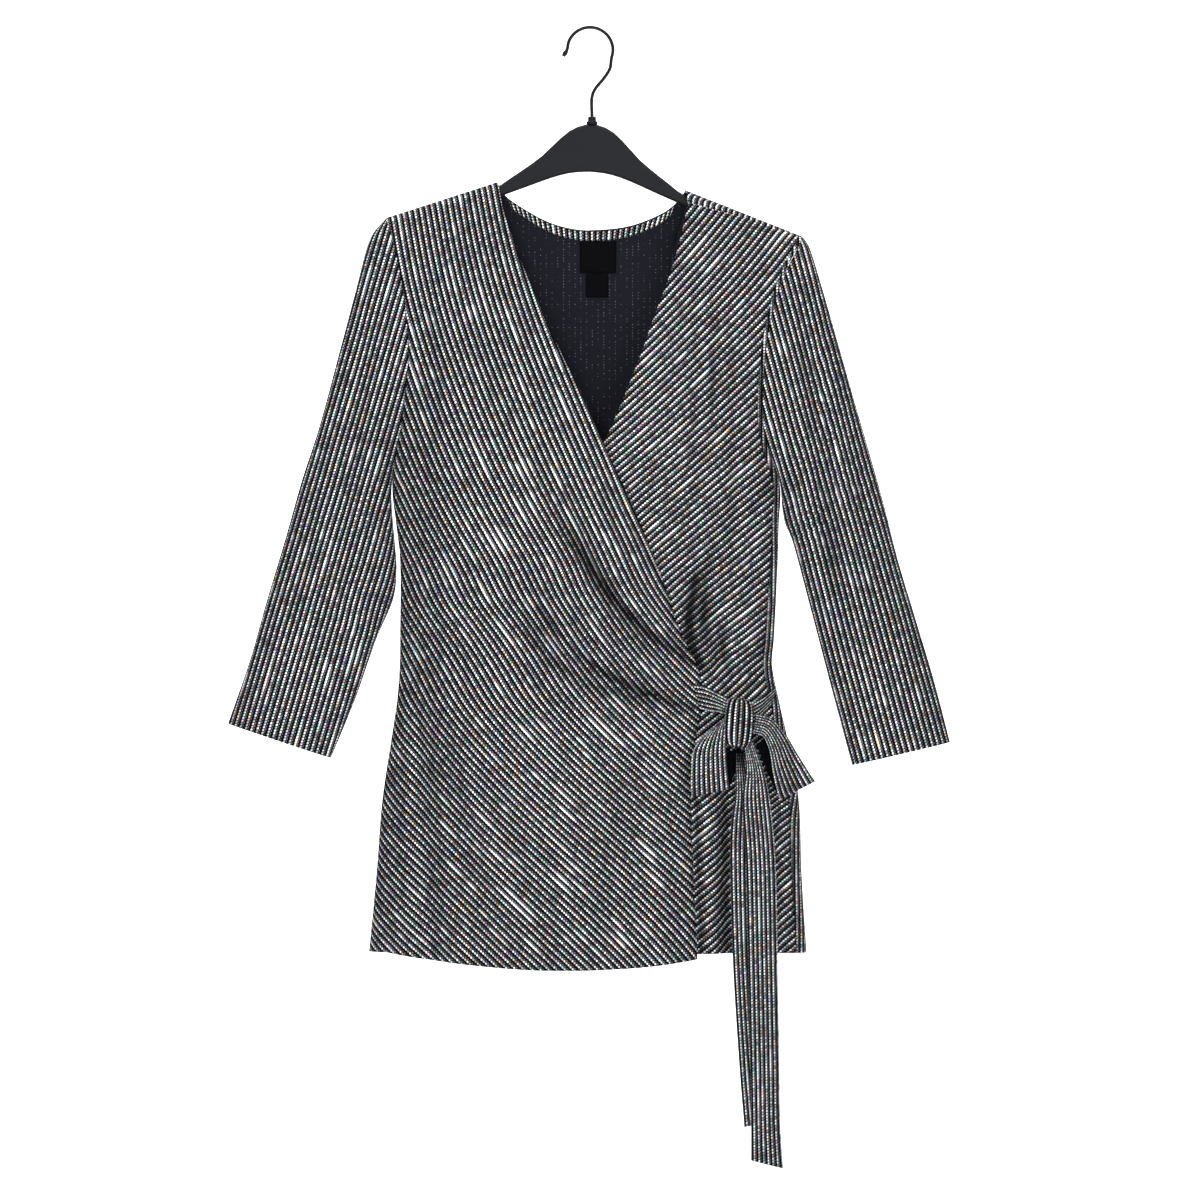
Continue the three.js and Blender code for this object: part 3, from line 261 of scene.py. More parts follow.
# %% Fold heights
def fold_height(folds, x, z):
    """For each fold, the best over its line of fade * exp(-(distance/width)^2),
    times its height. Folds are added up. The line is a quadratic curve through
    its middle point. It fades in over its first part and out over its last,
    unless it is open, which means that it runs on to the hem."""
    total = np.zeros(np.broadcast(x, z).shape)
    for number in range(len(folds["x0"])):
        x0, x1, x2 = (folds[name][number] for name in ("x0", "x1", "x2"))
        z0, z1, z2 = (folds[name][number] for name in ("z0", "z1", "z2"))
        best = np.zeros_like(total)
        for t in np.linspace(0, 1, FOLD_STEPS + 1):
            bend_x, bend_z = 2 * x1 - (x0 + x2) / 2, 2 * z1 - (z0 + z2) / 2
            line_x = (1 - t) ** 2 * x0 + 2 * t * (1 - t) * bend_x + t * t * x2
            line_z = (1 - t) ** 2 * z0 + 2 * t * (1 - t) * bend_z + t * t * z2
            width = mix(folds["w0"][number], folds["w2"][number], t)
            fade = smooth_step(0, FADED_IN, t)
            if not folds["open"][number]:
                fade *= 1 - smooth_step(FADING_OUT, 1, t)
            away = ((x - line_x) ** 2 + (z - line_z) ** 2) / width**2
            best = np.maximum(best, fade * np.exp(-away))
        total += folds["height"][number] * best
    return total


def ripple(x, z):
    """The slight unevenness of hanging jersey: three slow waves, added up."""
    waves = np.sin(x / 23 + z / 61) + np.sin(x / 41 - z / 37 + 1.3) + np.sin(z / 29 + x / 90)
    return RIPPLE_HEIGHT * waves


# %% [markdown]
# ## Light and shade of the folds
#
# Deep between two folds little light arrives, and foil on a fold's crest turns
# to the lamps. Cycles works that out, but the shells are smoother than real
# gathers, so each point also keeps a number for how deep it lies in a fold, and
# the cloth's material darkens or brightens the foil by it.

# %% Fold light
VALLEY_START, VALLEY_DEPTH, CREST_HEIGHT = 0.15, 4.2, 5.0
VALLEY_DARK, CREST_BRIGHT, COARSE_LIGHT = 0.9, 0.28, 0.22


def fold_light(folds):
    """1 on plain cloth, less in valleys, more on crests: 1 - dark * v + bright * c,
    where v and c grow from 0 to 1 with depth and height."""
    valley = smooth_step(VALLEY_START, 1, -folds / VALLEY_DEPTH)
    crest = smooth_step(0, 1, folds / CREST_HEIGHT)
    return 1 - VALLEY_DARK * valley + CREST_BRIGHT * crest


# %% [markdown]
# ## From pattern to place
#
# A point of the cloth is named by x across and by its way down from the
# shoulder line. This is the trick that lets one formula run over the hanger's
# round edge without a crease: there the way follows a quarter circle.

# %% A point of the body's surface
OVER_EDGE = table(
    "z x",
    (-138, -82.8), (-167, -77), (-212, -61), (-257, -42.5), (-307, -19), (-370, 10.4),
    (-442, 43.5), (-510, 70), (-545, 81.5), (-575, 96.5), (-604, 101), (-640, 94),
    (-692, 90.5), (-836, 96.3),
)
UNDER_EDGE = table(
    "z x",
    (-158, 88),
    (-190, 81),
    (-226, 70.2),
    (-257, 58.5),
    (-307, 40.5),
    (-367, 15.3),
    (-424, -13.5),
    (-505, -54),
    (-570, -76),
    (-640, -80),
    (-836, -80),
)
over_edge = curve_through(OVER_EDGE, "z", "x")
under_edge = curve_through(UNDER_EDGE, "z", "x")

EDGE_CURL = {"depth": 3.2, "width": 9, "start_z": -640, "full_z": -680}
GATHER_SINK = {"depth": 6, "top": (-400, -450), "bottom": (-690, -650)}
WRAP_RISE, HIDDEN_START, HIDDEN_FULL = 0.25, -2, 18
SEAM_CALM, SHOULDER_CALM = (0.02, 0.2), (20, 90)


def over_relief(x, z):
    """Folds, the step up over the other front, and below the tie a soft curl
    back along the free edge."""
    inside = 1 - np.abs(place_across(x, z))
    folds = fold_height(OVER_FOLDS, x, z) + FINE_SHARE * fold_height(FINE_OVER_FOLDS, x, z)
    curl = EDGE_CURL["depth"] * smooth_step(-EDGE_CURL["width"], 0, x - over_edge(z))
    curl *= smooth_step(EDGE_CURL["start_z"], EDGE_CURL["full_z"], z)
    step_up = WRAP_LAYER * smooth_step(0, WRAP_RISE, inside)
    return FOLD_GAIN * folds + ripple(x, z) - curl + step_up


def under_relief(x, z):
    """Folds, and behind the other front a sink that leaves room for its folds."""
    folds = fold_height(UNDER_FOLDS, x, z) + FINE_SHARE * fold_height(FINE_UNDER_FOLDS, x, z)
    gathered = smooth_step(*GATHER_SINK["top"], z) * smooth_step(*GATHER_SINK["bottom"], z)
    sink = HIDDEN_SINK + GATHER_SINK["depth"] * gathered
    sink *= smooth_step(HIDDEN_START, HIDDEN_FULL, over_edge(z) - x)
    return FOLD_GAIN * folds + ripple(x, z) - sink


def back_relief(x, z):
    return FOLD_GAIN * fold_height(BACK_FOLDS, x, z) + ripple(x, z)


def body_point(x, way, side, relief):
    """side is -1 for the front, 1 for the back; a way below zero lies over the
    shoulder line on the other side. Depth = rise over the hanger * (half depth
    + relief), the relief calmed near the seams."""
    facing = np.where(way < 0, -side, side)
    length = np.abs(way)
    z = ridge(x) - drop_after(length)
    inside = 1 - np.abs(place_across(x, z))
    calm = smooth_step(*SEAM_CALM, inside) * smooth_step(*SHOULDER_CALM, length)
    rise = np.where(length < QUARTER_ROUND, np.sin(length / SHOULDER_ROUND), 1)
    depth = rise * (half_depth(x, z) + relief(x, z) * calm)
    y = facing * (depth + SEAM_GAP / 2 * np.minimum(length, 1))
    return np.stack([x, y, z], -1)


# %% [markdown]
# ## Meshes from grids
#
# Every piece is a grid of points worked out at once with numpy and put into a
# mesh. The grid also carries flat cloth coordinates, so that the dots follow
# the cloth round curves. A Solidify modifier then gives the wall its thickness
# inwards: the outer side stays where it was worked out, and the inner side
# gets the black wrong side of the jersey.

# %% Grids to cloth shells
CLOTH_WALL = 0.9


def grid_faces(rows, columns, around):
    """Corner numbers of the quads of a grid; around closes each row to a ring."""
    index = np.arange(rows * columns).reshape(rows, columns)
    if around:
        index = np.hstack([index, index[:, :1]])
    corners = [index[:-1, :-1], index[1:, :-1], index[1:, 1:], index[:-1, 1:]]
    return np.stack(corners, -1).reshape(-1, 4)


def grid_normals(points, around):
    """Cross product of the steps down and across at each point."""
    down = np.gradient(points, axis=0)
    if around:
        across = np.roll(points, -1, 1) - np.roll(points, 1, 1)
    else:
        across = np.gradient(points, axis=1)
    normals = np.cross(down, across)
    return normals / np.maximum(np.linalg.norm(normals, axis=-1, keepdims=True), 1e-9)


def grid_piece(name, points, cloth, outward, materials, around=False, wall=CLOTH_WALL,
               light=1.0, seam=None):
    """A mesh from points in millimetres and cloth coordinates, its faces turned
    so that they agree with the outward direction. light goes to each point;
    at the column named seam the cloth coordinates start anew."""
    rows, columns = points.shape[:2]
    faces = grid_faces(rows, columns, around)
    places = grid_faces(rows, cloth.shape[1], False)
    if seam is not None:
        places = np.delete(places.reshape(rows - 1, -1, 4), seam, axis=1).reshape(-1, 4)
    if (grid_normals(points, around) * outward).sum() < 0:
        faces, places = faces[:, ::-1], places[:, ::-1]
    mesh = bpy.data.meshes.new(name)
    mesh.from_pydata((points.reshape(-1, 3) * MM).tolist(), [], faces.tolist())
    layer = mesh.uv_layers.new(name="cloth")
    corners = cloth.reshape(-1, 2)[places.reshape(-1)]
    layer.data.foreach_set("uv", corners.astype(np.float32).ravel())
    mesh.polygons.foreach_set("use_smooth", np.ones(len(faces), bool))
    shade = mesh.attributes.new("fold light", "FLOAT", "POINT")
    values = np.broadcast_to(light, points.shape[:2]).astype(np.float32)
    shade.data.foreach_set("value", np.ascontiguousarray(values).ravel())
    for material in materials:
        mesh.materials.append(material)
    piece = bpy.data.objects.new(name, mesh)
    bpy.context.scene.collection.objects.link(piece)
    if wall:
        solidify = piece.modifiers.new("wall", "SOLIDIFY")
        solidify.thickness = wall * MM
        solidify.offset = -1
        solidify.use_even_offset = False
        solidify.material_offset = len(materials) - 1
    print(f"{name}: {rows} x {columns} points")
    return piece


def dress(piece, node_name):
    """The piece rides with the garment and stands for its solid."""
    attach(piece, "root")
    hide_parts(node_name)
    return piece


# %% [markdown]
# ## The foil-dotted jersey
#
# The foil is printed as pairs of dot rows: a bright row of larger dots and a
# dimmer row beside it, then a black gap. Holographic foil gives each dot a
# tint of its own; each dot's random brightness is a painted glint, and long
# stretches of larger, brighter dots along a stripe are painted highlights. A
# photograph of the cloth could be pasted on, but procedural dots stay sharp at
# any distance. They are worked out in cloth coordinates: one unit is one dot
# along the rows and one stripe across.

# %% Small helpers for shader nodes
def node(tree, kind, *inputs, **settings):
    """Adds a node. Each input is a value or another node's output."""
    made = tree.nodes.new(kind)
    for name, value in settings.items():
        setattr(made, name, value)
    for socket, value in zip(made.inputs, inputs):
        if isinstance(value, bpy.types.NodeSocket):
            tree.links.new(value, socket)
        elif value is not None:
            socket.default_value = value
    return made


def maths(tree, operation, *inputs):
    return node(tree, "ShaderNodeMath", *inputs, operation=operation).outputs[0]


def new_group(name, inputs, outputs):
    """A node group with named sockets: (name, socket type, default) each."""
    group = bpy.data.node_groups.new(name, "ShaderNodeTree")
    for direction, sockets in (("INPUT", inputs), ("OUTPUT", outputs)):
        for title, kind, default in sockets:
            socket = group.interface.new_socket(title, in_out=direction, socket_type=kind)
            if default is not None:
                socket.default_value = default
    return group, group.nodes.new("NodeGroupInput"), group.nodes.new("NodeGroupOutput")


def new_material(name):
    material = bpy.data.materials.new(name)
    material.use_nodes = True
    tree = material.node_tree
    return material, tree, tree.nodes["Principled BSDF"]


def paint(tree, shader, factor, a, b):
    """Base colour: a and b mixed by the factor. Each is a value or an output."""
    blend = node(tree, "ShaderNodeMix", data_type="RGBA")
    for title, value in (("Factor", factor), ("A", a), ("B", b)):
        if isinstance(value, bpy.types.NodeSocket):
            tree.links.new(value, blend.inputs[title])
        else:
            blend.inputs[title].default_value = value
    tree.links.new(blend.outputs["Result"], shader.inputs["Base Color"])


def add_bump(tree, shader, height, strength, distance):
    """Bends the shader's normals by a height; the distance is in metres."""
    bump = node(tree, "ShaderNodeBump")
    bump.inputs["Strength"].default_value = strength
    bump.inputs["Distance"].default_value = distance
    tree.links.new(height, bump.inputs["Height"])
    tree.links.new(bump.outputs[0], shader.inputs["Normal"])


def object_noise(tree, scale):
    """Noise over the object's own coordinates, scale waves to the metre."""
    place = node(tree, "ShaderNodeTexCoord")
    noise = node(tree, "ShaderNodeTexNoise", place.outputs["Object"])
    noise.inputs["Scale"].default_value = scale
    return noise.outputs[0]


# %% The dots as a node group
STRIPE_PERIOD, DOT_PITCH = 5.2, 2.6
FLOAT, VECTOR, COLOUR = "NodeSocketFloat", "NodeSocketVector", "NodeSocketColor"
DOT_TINTS = (
    (0.0, (0.9, 0.92, 0.96)), (0.52, (1.0, 1.0, 1.0)), (0.6, (1.0, 0.62, 0.7)),
    (0.66, (1.0, 0.74, 0.5)), (0.72, (0.62, 1.0, 0.8)), (0.79, (0.6, 0.82, 1.0)),
    (0.86, (0.78, 0.64, 1.0)), (0.92, (1.0, 0.97, 0.95)),
)
DOT_OUTSIDE, DOT_INSIDE = 1.08, 0.88
LEAST_GLINT, GLINT_SPREAD = 0.3, 0.75
# Painted highlight streaks: stretches of a stripe where the dots grow and brighten, like foil
# catching the lamps.
PAINTED_STREAK = {"stretch": 0.07, "apart": 3.7, "start": 0.56, "full": 0.72}
# A dot's half sizes in millimetres: the plain one, and what a painted highlight streak adds.
BRIGHT_ROW = {"shift": 0.0, "place": 0.3, "slant": 0.45, "light": 1.14,
              "long": (1.0, 0.3), "wide": (0.9, 0.15)}
DIM_ROW = {"shift": 0.5, "place": 0.66, "slant": -0.45, "light": 0.2,
           "long": (0.75, 0.3), "wide": (0.55, 0.1)}


def dot_row(group, along, across, row):
    """One row of dots. Each unit cell holds a slanted ellipse, found from
    sqrt((along / radius along)^2 + (across / radius across)^2) < 1, and a random
    number and colour of its own."""
    shifted = maths(group, "ADD", along, row["shift"])
    moved = maths(group, "SUBTRACT", across, row["place"] - 0.5)
    cell_along, cell_across = maths(group, "FLOOR", shifted), maths(group, "FLOOR", moved)
    cell = node(group, "ShaderNodeCombineXYZ", cell_along, cell_across, row["place"])
    chance = node(group, "ShaderNodeTexWhiteNoise", cell.outputs[0])
    a = maths(group, "SUBTRACT", maths(group, "FRACT", shifted), 0.5)
    b = maths(group, "SUBTRACT", maths(group, "FRACT", moved), 0.5)
    a = maths(group, "MULTIPLY_ADD", b, row["slant"], a)
    a = maths(group, "DIVIDE", maths(group, "MULTIPLY", a, DOT_PITCH), row["half_long"])
    b = maths(group, "DIVIDE", maths(group, "MULTIPLY", b, STRIPE_PERIOD), row["half_wide"])
    squares = maths(group, "ADD", maths(group, "MULTIPLY", a, a), maths(group, "MULTIPLY", b, b))
    inside = node(group, "ShaderNodeMapRange", maths(group, "SQRT", squares),
                  DOT_OUTSIDE, DOT_INSIDE, 0.0, 1.0)
    return inside.outputs[0], chance


def make_foil_dots():
    """Mask, colour and height of the printed foil over the cloth; its colour also carries painted
    glints and painted highlight streaks.
    """
    group, start, end = new_group(
        "Foil dots",
        [("Cloth", VECTOR, None), ("Streaks", FLOAT, 1.0)],
        [("Mask", FLOAT, None), ("Colour", COLOUR, None), ("Height", FLOAT, None)],
    )
    link = group.links.new
    split = node(group, "ShaderNodeSeparateXYZ", start.outputs["Cloth"])
    along, across = split.outputs[0], split.outputs[1]
    stripe_number = maths(group, "FLOOR", across)
    # Painted highlight streaks: a slow noise along each stripe, a different one for each stripe.
    long_way = node(
        group, "ShaderNodeCombineXYZ", maths(group, "MULTIPLY", along, PAINTED_STREAK["stretch"]),
        maths(group, "MULTIPLY", stripe_number, PAINTED_STREAK["apart"]), 0.0,
    )
    noise = node(group, "ShaderNodeTexNoise", long_way.outputs[0], noise_dimensions="2D")
    noise.inputs["Scale"].default_value = 1.0
    noise.inputs["Detail"].default_value = 2.0
    painted_streak = node(group, "ShaderNodeMapRange", noise.outputs[0],
                  PAINTED_STREAK["start"], PAINTED_STREAK["full"], 0.0, 1.0)
    painted_streak = maths(group, "MULTIPLY", painted_streak.outputs[0], start.outputs["Streaks"])
    masks, colours = [], []
    for row in (BRIGHT_ROW, DIM_ROW):
        sizes = {"half_" + way: maths(group, "MULTIPLY_ADD", painted_streak, row[way][1], row[way][0])
                 for way in ("long", "wide")}
        inside, chance = dot_row(group, along, across, {**row, **sizes})
        tint = node(group, "ShaderNodeValToRGB", chance.outputs["Value"])
        ramp = tint.color_ramp
        ramp.interpolation = "CONSTANT"
        while len(ramp.elements) < len(DOT_TINTS):
            ramp.elements.new(0.5)
        for element, (place, colour) in zip(ramp.elements, DOT_TINTS):
            element.position = place
            element.color = (*colour, 1)
        spread = node(group, "ShaderNodeSeparateColor", chance.outputs["Color"])
        # Each dot's random brightness is a painted glint; a painted highlight streak raises it to
        # full.
        lit = maths(group, "MULTIPLY_ADD", spread.outputs[1], GLINT_SPREAD, LEAST_GLINT)
        lit = maths(group, "MULTIPLY", maths(group, "MAXIMUM", lit, painted_streak), row["light"])
        shade = node(group, "ShaderNodeVectorMath", tint.outputs[0], operation="SCALE")
        link(lit, shade.inputs["Scale"])
        masks.append(inside)
        colours.append(shade.outputs[0])
    mask = maths(group, "MAXIMUM", *masks)
    blend = node(group, "ShaderNodeMix", data_type="RGBA")
    link(masks[1], blend.inputs["Factor"])
    link(colours[0], blend.inputs["A"])
    link(colours[1], blend.inputs["B"])
    link(mask, end.inputs["Mask"])
    link(blend.outputs["Result"], end.inputs["Colour"])
    link(mask, end.inputs["Height"])
    return group


foil_dots = make_foil_dots()
print("foil dots:", len(foil_dots.nodes), "nodes")

# %% [markdown]
# ## Cloth materials
#
# Jersey is matt and a little fuzzy, foil is smooth and half metallic. One
# Principled shader can be both: the dots' mask mixes colour, roughness and
# metal, and the fold light scales the foil's colour. A bump from the same mask
# lifts the dots. The wrong side is plain jersey with a few specks shining
# through; on the tie it is a darker, duller copy with fainter specks, which
# paints the shade it lies in.

# %% Right side and wrong side of the cloth
JERSEY_BLACK = (0.0022, 0.0024, 0.0042, 1)
REVERSE_BLACK = (0.0085, 0.009, 0.0155, 1)
SPECK_COLOUR = (0.6, 0.64, 0.72, 1)
SPECK_ROW = {"shift": 0.2, "place": 0.4, "slant": 0.0, "half_long": 0.42, "half_wide": 0.36}
JERSEY_ROUGH, FOIL_SMOOTHER, FOIL_METAL, JERSEY_SHINE = 0.9, -0.42, 0.5, 0.05
FUZZ_SCALE = 900


def make_foil_cloth(name, painted_streaks):
    material, tree, shader = new_material(name)
    cloth = node(tree, "ShaderNodeUVMap", uv_map="cloth")
    dots = node(tree, "ShaderNodeGroup", node_tree=foil_dots)
    tree.links.new(cloth.outputs[0], dots.inputs["Cloth"])
    dots.inputs["Streaks"].default_value = painted_streaks
    mask = dots.outputs["Mask"]
    fold = node(tree, "ShaderNodeAttribute", attribute_name="fold light")
    foil = node(tree, "ShaderNodeVectorMath", dots.outputs["Colour"], operation="SCALE")
    tree.links.new(fold.outputs["Fac"], foil.inputs["Scale"])
    paint(tree, shader, mask, JERSEY_BLACK, foil.outputs[0])
    rough = maths(tree, "MULTIPLY_ADD", mask, FOIL_SMOOTHER, JERSEY_ROUGH)
    tree.links.new(rough, shader.inputs["Roughness"])
    tree.links.new(maths(tree, "MULTIPLY", mask, FOIL_METAL), shader.inputs["Metallic"])
    shader.inputs["Specular IOR Level"].default_value = JERSEY_SHINE
    add_bump(tree, shader, dots.outputs["Height"], 0.5, 0.0003)
    return material


def make_reverse(name, black, speck_light, shine):
    material, tree, shader = new_material(name)
    cloth = node(tree, "ShaderNodeUVMap", uv_map="cloth")
    split = node(tree, "ShaderNodeSeparateXYZ", cloth.outputs[0])
    inside, chance = dot_row(tree, split.outputs[0], split.outputs[1], SPECK_ROW)
    rare = node(tree, "ShaderNodeMapRange", chance.outputs["Value"], 0.5, 1.0, 0.0, speck_light)
    speck = maths(tree, "MULTIPLY", inside, rare.outputs[0])
    paint(tree, shader, speck, black, SPECK_COLOUR)
    add_bump(tree, shader, object_noise(tree, FUZZ_SCALE), 0.25, 0.0003)
    shader.inputs["Roughness"].default_value = JERSEY_ROUGH
    shader.inputs["Specular IOR Level"].default_value = shine
    return material


foil_cloth = make_foil_cloth("foil dotted jersey", 1.0)
# The tie's foil gets fewer painted highlight streaks.
tie_cloth = make_foil_cloth("foil dotted jersey of the tie", 0.8)
wrong_side = make_reverse("black wrong side", REVERSE_BLACK, 0.34, 0.2)
# The tie's wrong side: a darker, duller copy that paints the shade inside the loops and knot.
shaded_side = make_reverse("wrong side of the tie in painted shade", JERSEY_BLACK, 0.1, 0.03)
CLOTH_SIDES = [foil_cloth, wrong_side]
TIE_SIDES = [tie_cloth, shaded_side]

# %% [markdown]
# ## Which way the stripes run
#
# The fronts are cut on the bias and drawn to the tie, so their stripes turn
# from place to place. They could be painted, but then the dots would smear.
# Instead a short table says the stripes' angle at a few places, and a least
# squares fit finds two smooth fields: the count of stripes across, and the
# count of dots along.

# %% Stripe fields from a few angles
OVER_ANGLES = table(
    "x z angle",
    (-126, -160, 10), (-90, -200, 12), (-165, -260, 16), (-60, -260, 18), (-27, -334, 21),
    (-110, -330, 20), (-153, -380, 27), (-60, -390, 26), (8, -385, 16), (-110, -440, 31),
    (-40, -438, 29), (11, -438, 17), (36, -485, 15), (60, -525, 19), (80, -552, 28),
    (-171, -514, 36), (-110, -510, 36), (-60, -490, 34), (0, -485, 30), (30, -535, 34),
    (-20, -525, 33), (66, -580, 40), (-90, -570, 39), (-45, -590, 45), (0, -605, 50),
    (40, -625, 54), (85, -635, 56), (-170, -640, 42), (-90, -680, 44), (-27, -694, 47),
    (40, -670, 52), (80, -690, 51), (-171, -820, 50), (-90, -820, 48), (0, -820, 46),
    (81, -784, 43), (90, -830, 42),
)
UNDER_ANGLES = table(
    "x z angle",
    (100, -200, -40), (150, -210, -38), (80, -280, -44), (140, -300, -46), (60, -330, -46),
    (150, -400, -50), (90, -420, -48), (60, -440, -48), (110, -520, -50), (150, -560, -54),
    (150, -480, -54), (110, -680, -52), (160, -680, -52), (120, -800, -50), (170, -800, -50),
)
FIT_SPAN, FIT_ORDER, FIT_MARGIN, FIT_GRID = 300, 7, 20, (24, 36)
ANGLE_REACH, COUNT_SMOOTHING = 26, 12


def fit_stripes(angles):
    """Returns a function (x, down) -> (dots along, stripes across). Each field
    is a polynomial whose gradient is fitted to the stripe direction divided by
    its spacing; the angle between table rows is a distance-weighted mean."""
    powers = [(i, n - i) for n in range(1, FIT_ORDER + 1) for i in range(n + 1)]
    places = [np.linspace(angles[key].min() - FIT_MARGIN, angles[key].max() + FIT_MARGIN, count)
              for key, count in zip("xz", FIT_GRID)]
    x, z = (grid.ravel() for grid in np.meshgrid(*places))
    apart = (x[:, None] - angles["x"]) ** 2 + (z[:, None] - angles["z"]) ** 2
    weight = 1 / (apart + ANGLE_REACH**2) ** 2
    turn = np.radians((weight * angles["angle"]).sum(1) / weight.sum(1))
    p, q = x / FIT_SPAN, -z / FIT_SPAN

    def slopes(p, q):
        by_p = np.stack([i * p ** max(i - 1, 0) * q**j for i, j in powers], -1)
        by_q = np.stack([j * p**i * q ** max(j - 1, 0) for i, j in powers], -1)
        return np.concatenate([by_p, by_q]) / FIT_SPAN

    along = np.concatenate([np.sin(turn), np.cos(turn)]) / DOT_PITCH
    across = np.concatenate([np.cos(turn), -np.sin(turn)]) / STRIPE_PERIOD
    fields = [np.linalg.lstsq(slopes(p, q), goal, rcond=None)[0] for goal in (along, across)]

    def stripes(x, down):
        terms = np.stack([(x / FIT_SPAN) ** i * (down / FIT_SPAN) ** j for i, j in powers], -1)
        return np.stack([terms @ field for field in fields], -1)

    return stripes


def flat_cloth(points, x, way, middle):
    """Flat coordinates: way down the cloth, and x plus the extra length that
    the depth adds on each row, counted from x = middle. Neighbouring rows are
    averaged a few times, so that a fold bends the stripes gently."""
    step = np.diff(points, axis=1)
    extra = np.hypot(step[..., 0], step[..., 1]) - np.abs(step[..., 0])
    summed = np.concatenate([np.zeros((len(points), 1)), np.cumsum(extra, 1)], 1)
    row = np.arange(len(points))
    near = np.clip((x <= middle).sum(1) - 1, 0, x.shape[1] - 2)
    share = np.clip((middle - x[row, near]) / (x[row, near + 1] - x[row, near]), 0, 1)
    summed -= mix(summed[row, near], summed[row, near + 1], share)[:, None]
    for _ in range(COUNT_SMOOTHING):
        summed[1:-1] = (summed[:-2] + 2 * summed[1:-1] + summed[2:]) / 4
    return x + summed, way - ridge(x)


over_stripes = fit_stripes(OVER_ANGLES)
under_stripes = fit_stripes(UNDER_ANGLES)

# %% [markdown]
# ## Fronts and back
#
# A pattern piece is known by its four borders: shoulder, hem, side and free
# edge. Filling it smoothly from them is called a Coons patch: mix the upper
# and lower border, mix the left and right one, add both, and take away the
# plain mix of the corners. It is done in the flat pattern, before the cloth is
# bent over the body.

# %% Borders and filling
LEFT_HEM_Z, RIGHT_HEM_Z = -830, -831
OVER_HEM = {"x": -9, "z": -845, "rise_left": 0.0005, "rise_right": 0.0009}
UNDER_HEM = {"x": 130, "z": -830, "drop": 0.00009}
UNDER_TOP_Z = -158
OVER_EDGE_HEM_X, UNDER_EDGE_HEM_X = 96.3, -80
BACK_HEM_SAG = 3
FORWARD_SEAM_NECK, FORWARD_SEAM_TIP = 17, 5
ARMHOLE_ROWS, SIDE_ROWS = 64, 104
OVER_COLUMNS, UNDER_COLUMNS = 92, 84
SEAM_SHARE, SEAM_SHADE, SEAM_SHADE_WIDTH = 0.962, 3.0, 1.2


def straight_stripes(across, down):
    """Upright stripes: dots counted down, stripes counted across."""
    return np.stack([down / DOT_PITCH, across / STRIPE_PERIOD], -1)


def row_shares(tip_z, hem_z):
    """Rows close together at the shoulder and the underarm, then evenly spaced."""
    armhole = (UNDERARM_Z - tip_z) / (hem_z - tip_z)
    upper = armhole * (1 - np.cos(np.pi * np.arange(ARMHOLE_ROWS) / ARMHOLE_ROWS)) / 2
    return np.concatenate([upper, np.linspace(armhole, 1, SIDE_ROWS + 1)])


def ease_from_left(count):
    return 1 - np.cos(np.pi / 2 * np.arange(count + 1) / count)


def ease_to_right(count):
    return 1 - ease_from_left(count)[::-1]


def border(x, z):
    return np.stack([x + 0 * z, np.maximum(RIDGE_START, way_down(x, z))], -1)


def filled(borders, left_rows, right_rows, across):
    """The Coons patch, in x and way."""
    s = across[None, :]
    t = mix(left_rows[:, None], right_rows[:, None], s)[..., None]
    s = s[..., None]
    top, bottom = borders["top"](across)[None], borders["bottom"](across)[None]
    sides = mix(borders["left"](left_rows)[:, None], borders["right"](right_rows)[:, None], s)
    ends = mix(mix(top[:, :1], bottom[:, :1], t), mix(top[:, -1:], bottom[:, -1:], t), s)
    return mix(top, bottom, t) + sides - ends


def panel(name, patch, side, relief, stripes, middle, folds, strip=None):
    """Bends a filled patch over the body and makes the piece. From the column
    numbered strip on, the cloth belongs to the back: its stripes stand upright,
    and a painted shade in the fold light darkens the seam line."""
    x, way = patch[..., 0], patch[..., 1]
    points = body_point(x, way, side, relief)
    across, down = flat_cloth(points, x, way, middle)
    cloth = stripes(across, down)
    z = ridge(x) - drop_after(np.abs(way))
    height = sum(share * fold_height(rows, x, z) for rows, share in folds)
    if strip is not None:
        upright = straight_stripes(across, down)
        cloth = np.concatenate([cloth[:, : strip + 1], upright[:, strip:]], 1)
        # A painted shade in the fold light darkens the seam line.
        away = (np.arange(x.shape[1]) - strip) / SEAM_SHADE_WIDTH
        height -= SEAM_SHADE * np.exp(-away ** 2)
    piece = grid_piece(name, points, cloth, np.array([0, side, 0]), CLOTH_SIDES,
                       light=fold_light(height), seam=strip)
    dress(piece, name.replace("_cloth", ""))
    return piece


# %% The over front
def over_hem(x):
    away = x - OVER_HEM["x"]
    rise = np.where(away < 0, OVER_HEM["rise_left"], OVER_HEM["rise_right"])
    return np.minimum(LEFT_HEM_Z, OVER_HEM["z"] + rise * away**2)


over_rows = row_shares(LEFT_TIP[1], LEFT_HEM_Z)


def over_left(t):
    z = mix(LEFT_TIP[1], LEFT_HEM_Z, t)
    return border(left_seam(z), z)


def over_right(t):
    z = mix(ridge(NECK_POINT_LEFT), over_hem(OVER_EDGE_HEM_X), t)
    return border(over_edge(z), z)


def over_top(s):
    x = mix(LEFT_TIP[0], NECK_POINT_LEFT, s)
    return np.stack([x, np.full_like(x, RIDGE_START)], -1)


def over_bottom(s):
    x = mix(left_seam(LEFT_HEM_Z), OVER_EDGE_HEM_X, s)
    return border(x, over_hem(x))


over_patch = filled(
    {"left": over_left, "right": over_right, "top": over_top, "bottom": over_bottom},
    over_rows, over_rows, ease_from_left(OVER_COLUMNS),
)
panel(
    "front_over_cloth", over_patch, -1, over_relief, over_stripes, 0,
    [(OVER_FOLDS, COARSE_LIGHT), (FINE_OVER_FOLDS, 1)],
)


